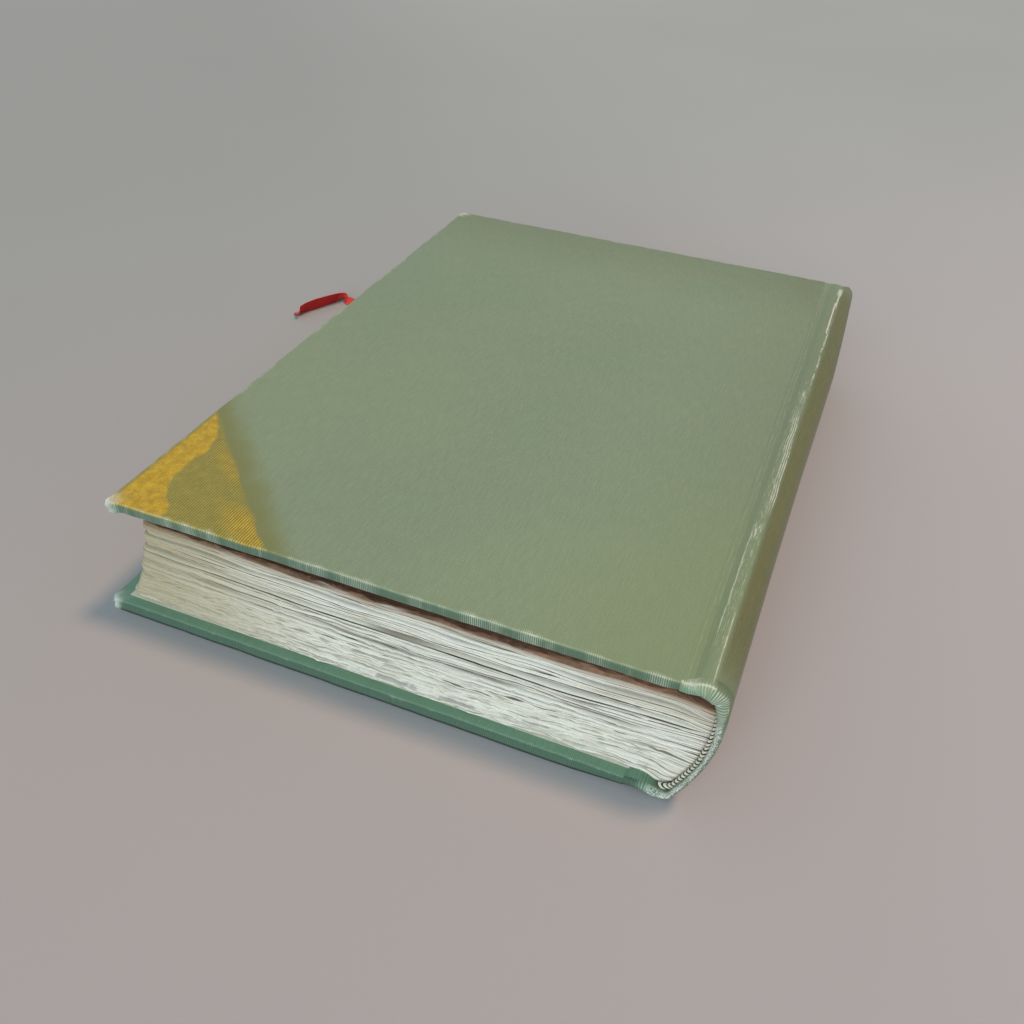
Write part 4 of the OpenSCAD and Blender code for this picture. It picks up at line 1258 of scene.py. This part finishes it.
        # Worn pale: the lip, the sharp fold, a lump at the joint's end and a tuft at the shoulder
        lip = ease((depth - lip_from) / 0.5) * ease((roll_t + 0.6 - depth) / 0.6) * (kind == "roll")
        ragged = 0.5 + 0.35 * slow_noise(s * 2 + 30 * end, 12, 5, 0.03, 0.25)
        lip_wear = lip * lip_level * (0.6 + 0.8 * ragged) * (1 - 0.7 * near_foot)
        fold_line = 1.2 * bell(y - 0.6 - 0.25 * slow_noise(s, 8, 4, 0.1, 0.4), 0.45) * fold_zone
        fold_line = fold_line * (1.0 if out or v < 50 else 0.2)
        lump = np.exp(-((s - 2.6) / 2.0) ** 2 - ((y - 0.6) / 0.7) ** 2) * 1.15
        under = bell(s - 3.4, 2.2) * 0.86 * ease((2.6 - depth) / 1.8) * (kind == "roll") * (end > 0)
        if end > 0:
            tuft = np.exp(-((s - corner_s - 0.3) / 1.5) ** 2 - ((depth - 3.0) / 1.2) ** 2) * 1.4
            tuft = tuft * (kind == "roll")
        else:
            tuft = np.exp(-((s - ridge_s - 1.5) / 2.8) ** 2 - ((y - 0.3) / 1.8) ** 2) * 1.6
        worn = np.maximum.reduce([lip_wear, fold_line, lump, under, tuft])
        at["wear"].append(np.clip(worn * (1.0 if end > 0 else 0.8), 0, 1.2))
    faces = grid_faces(len(verts), len(s), flip=True)
    cut_skin(stacked(verts), faces, {key: stacked(rows) for key, rows in at.items()}, s, ridge_s)


make_case()


# Frayed threads

def make_fuzz(name, body, spots, seed):
    """Short loose threads. spots are (centre, spread, direction, count, length, tint)."""
    r = np.random.default_rng(seed)
    verts, faces, tints = [], [], []
    for centre, spread, out, count, length, tint in spots:
        for _ in range(count):
            p = pt(*centre) + r.normal(0, 1, 3) * pt(*spread)
            d = pt(*out) + r.normal(0, 0.75, 3)
            d /= np.linalg.norm(d)
            bend = r.normal(0, 0.6, 3)
            size = length * r.uniform(0.4, 1.2)
            rad = r.uniform(0.035, 0.07)
            side = np.cross(d, r.normal(0, 1, 3))
            side /= np.linalg.norm(side)
            other = np.cross(d, side)
            faces += grid_faces(5, 3, len(verts), wrap=True).tolist()
            for k in range(5):
                t = k / 4
                c = p + d * size * t + bend * size * t * t
                c[2] = max(c[2], 0.05)
                w = rad * (1 - 0.6 * t)
                for a in (0, 2.1, 4.2):
                    verts.append(c + side * math.cos(a) * w + other * math.sin(a) * w)
                    tints.append(tint * r.uniform(0, 1))
    o = new_piece(name, np.array(verts), faces, FUZZ, {"tint": tints})
    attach(o, body)


make_fuzz("back_cover_fray", "back_cover", [
    ((1.4, 1.2, TOTAL_T - 1.5), (0.7, 0.6, 0.8), (-0.7, -0.7, 0), 150, 1.0, 0.1),
    ((1.4, COVER_H - 1.2, TOTAL_T - 1.5), (0.6, 0.5, 0.8), (-0.7, 0.7, 0), 60, 0.8, 0.3),
], 5)
make_fuzz("front_cover_fray", "front_cover", [
    ((1.2 - SLIP, 1.1, 1.5), (0.5, 0.5, 0.8), (-0.7, -0.7, 0.1), 90, 0.8, 0.4),
    ((1.2 - SLIP, COVER_H - 1.1, 1.5), (0.5, 0.5, 0.8), (-0.7, 0.7, 0.1), 60, 0.8, 0.4),
], 6)


# Floor and light

FLOOR_HALF = 3.0
FLOOR_Z = -0.00006
# Azimuth, elevation, power, spread and colour. Azimuth 0 stands in front of the tail
SUNS = {
    "key": (117, 69, 1.55, 10, (1.0, 0.66, 0.46)),
    "fill": (5, 26, 2.1, 50, (0.79, 0.91, 1.0)),
}
SKY = (0.30, 0.40, 0.47, 1)


def make_stage():
    corners = [(x * FLOOR_HALF, y * FLOOR_HALF, FLOOR_Z) for x, y in ((-1, -1), (1, -1), (1, 1), (-1, 1))]
    me = bpy.data.meshes.new("floor")
    me.from_pydata(corners, [], [(0, 1, 2, 3)])
    floor = bpy.data.objects.new("floor", me)
    bpy.context.scene.collection.objects.link(floor)
    k = Look("floor_paper", roughness=0.85, specular=0.15)
    at = k.place()
    x, y, z = k.split(at)
    # Painted light and shade: a little darker and greyer to the left and far back, lighter to the front right
    colour = k.mix(k.step(x - y * 0.8, -0.5, 0.25), (159, 161, 157), (174, 168, 166))
    colour = k.shade(colour, k.step(y * 0.75 + x, -0.16, 0.32, 0.925, 1.08))
    colour = k.shade(colour, k.step(k.noise(at, 3.0, 2), 0.3, 0.7, 0.985, 1.015))
    me.materials.append(k.finish(colour, k.noise(at, 900, 2), 0.0001, 0.15))

    world = bpy.data.worlds.new("studio")
    bpy.context.scene.world = world
    world.use_nodes = True
    world.node_tree.nodes["Background"].inputs["Color"].default_value = SKY
    world.node_tree.nodes["Background"].inputs["Strength"].default_value = 1.0
    for name, (azimuth, elevation, power, spread, colour) in SUNS.items():
        lamp = bpy.data.lights.new(name, "SUN")
        lamp.energy = power
        lamp.angle = math.radians(spread)
        lamp.color = colour
        o = bpy.data.objects.new(name, lamp)
        a, e = math.radians(azimuth), math.radians(elevation)
        way = Vector((math.sin(a) * math.cos(e), -math.cos(a) * math.cos(e), math.sin(e)))
        o.rotation_mode = "QUATERNION"
        o.rotation_quaternion = way.to_track_quat("Z", "Y")
        bpy.context.scene.collection.objects.link(o)
    bpy.context.scene.view_settings.view_transform = "Standard"


make_stage()
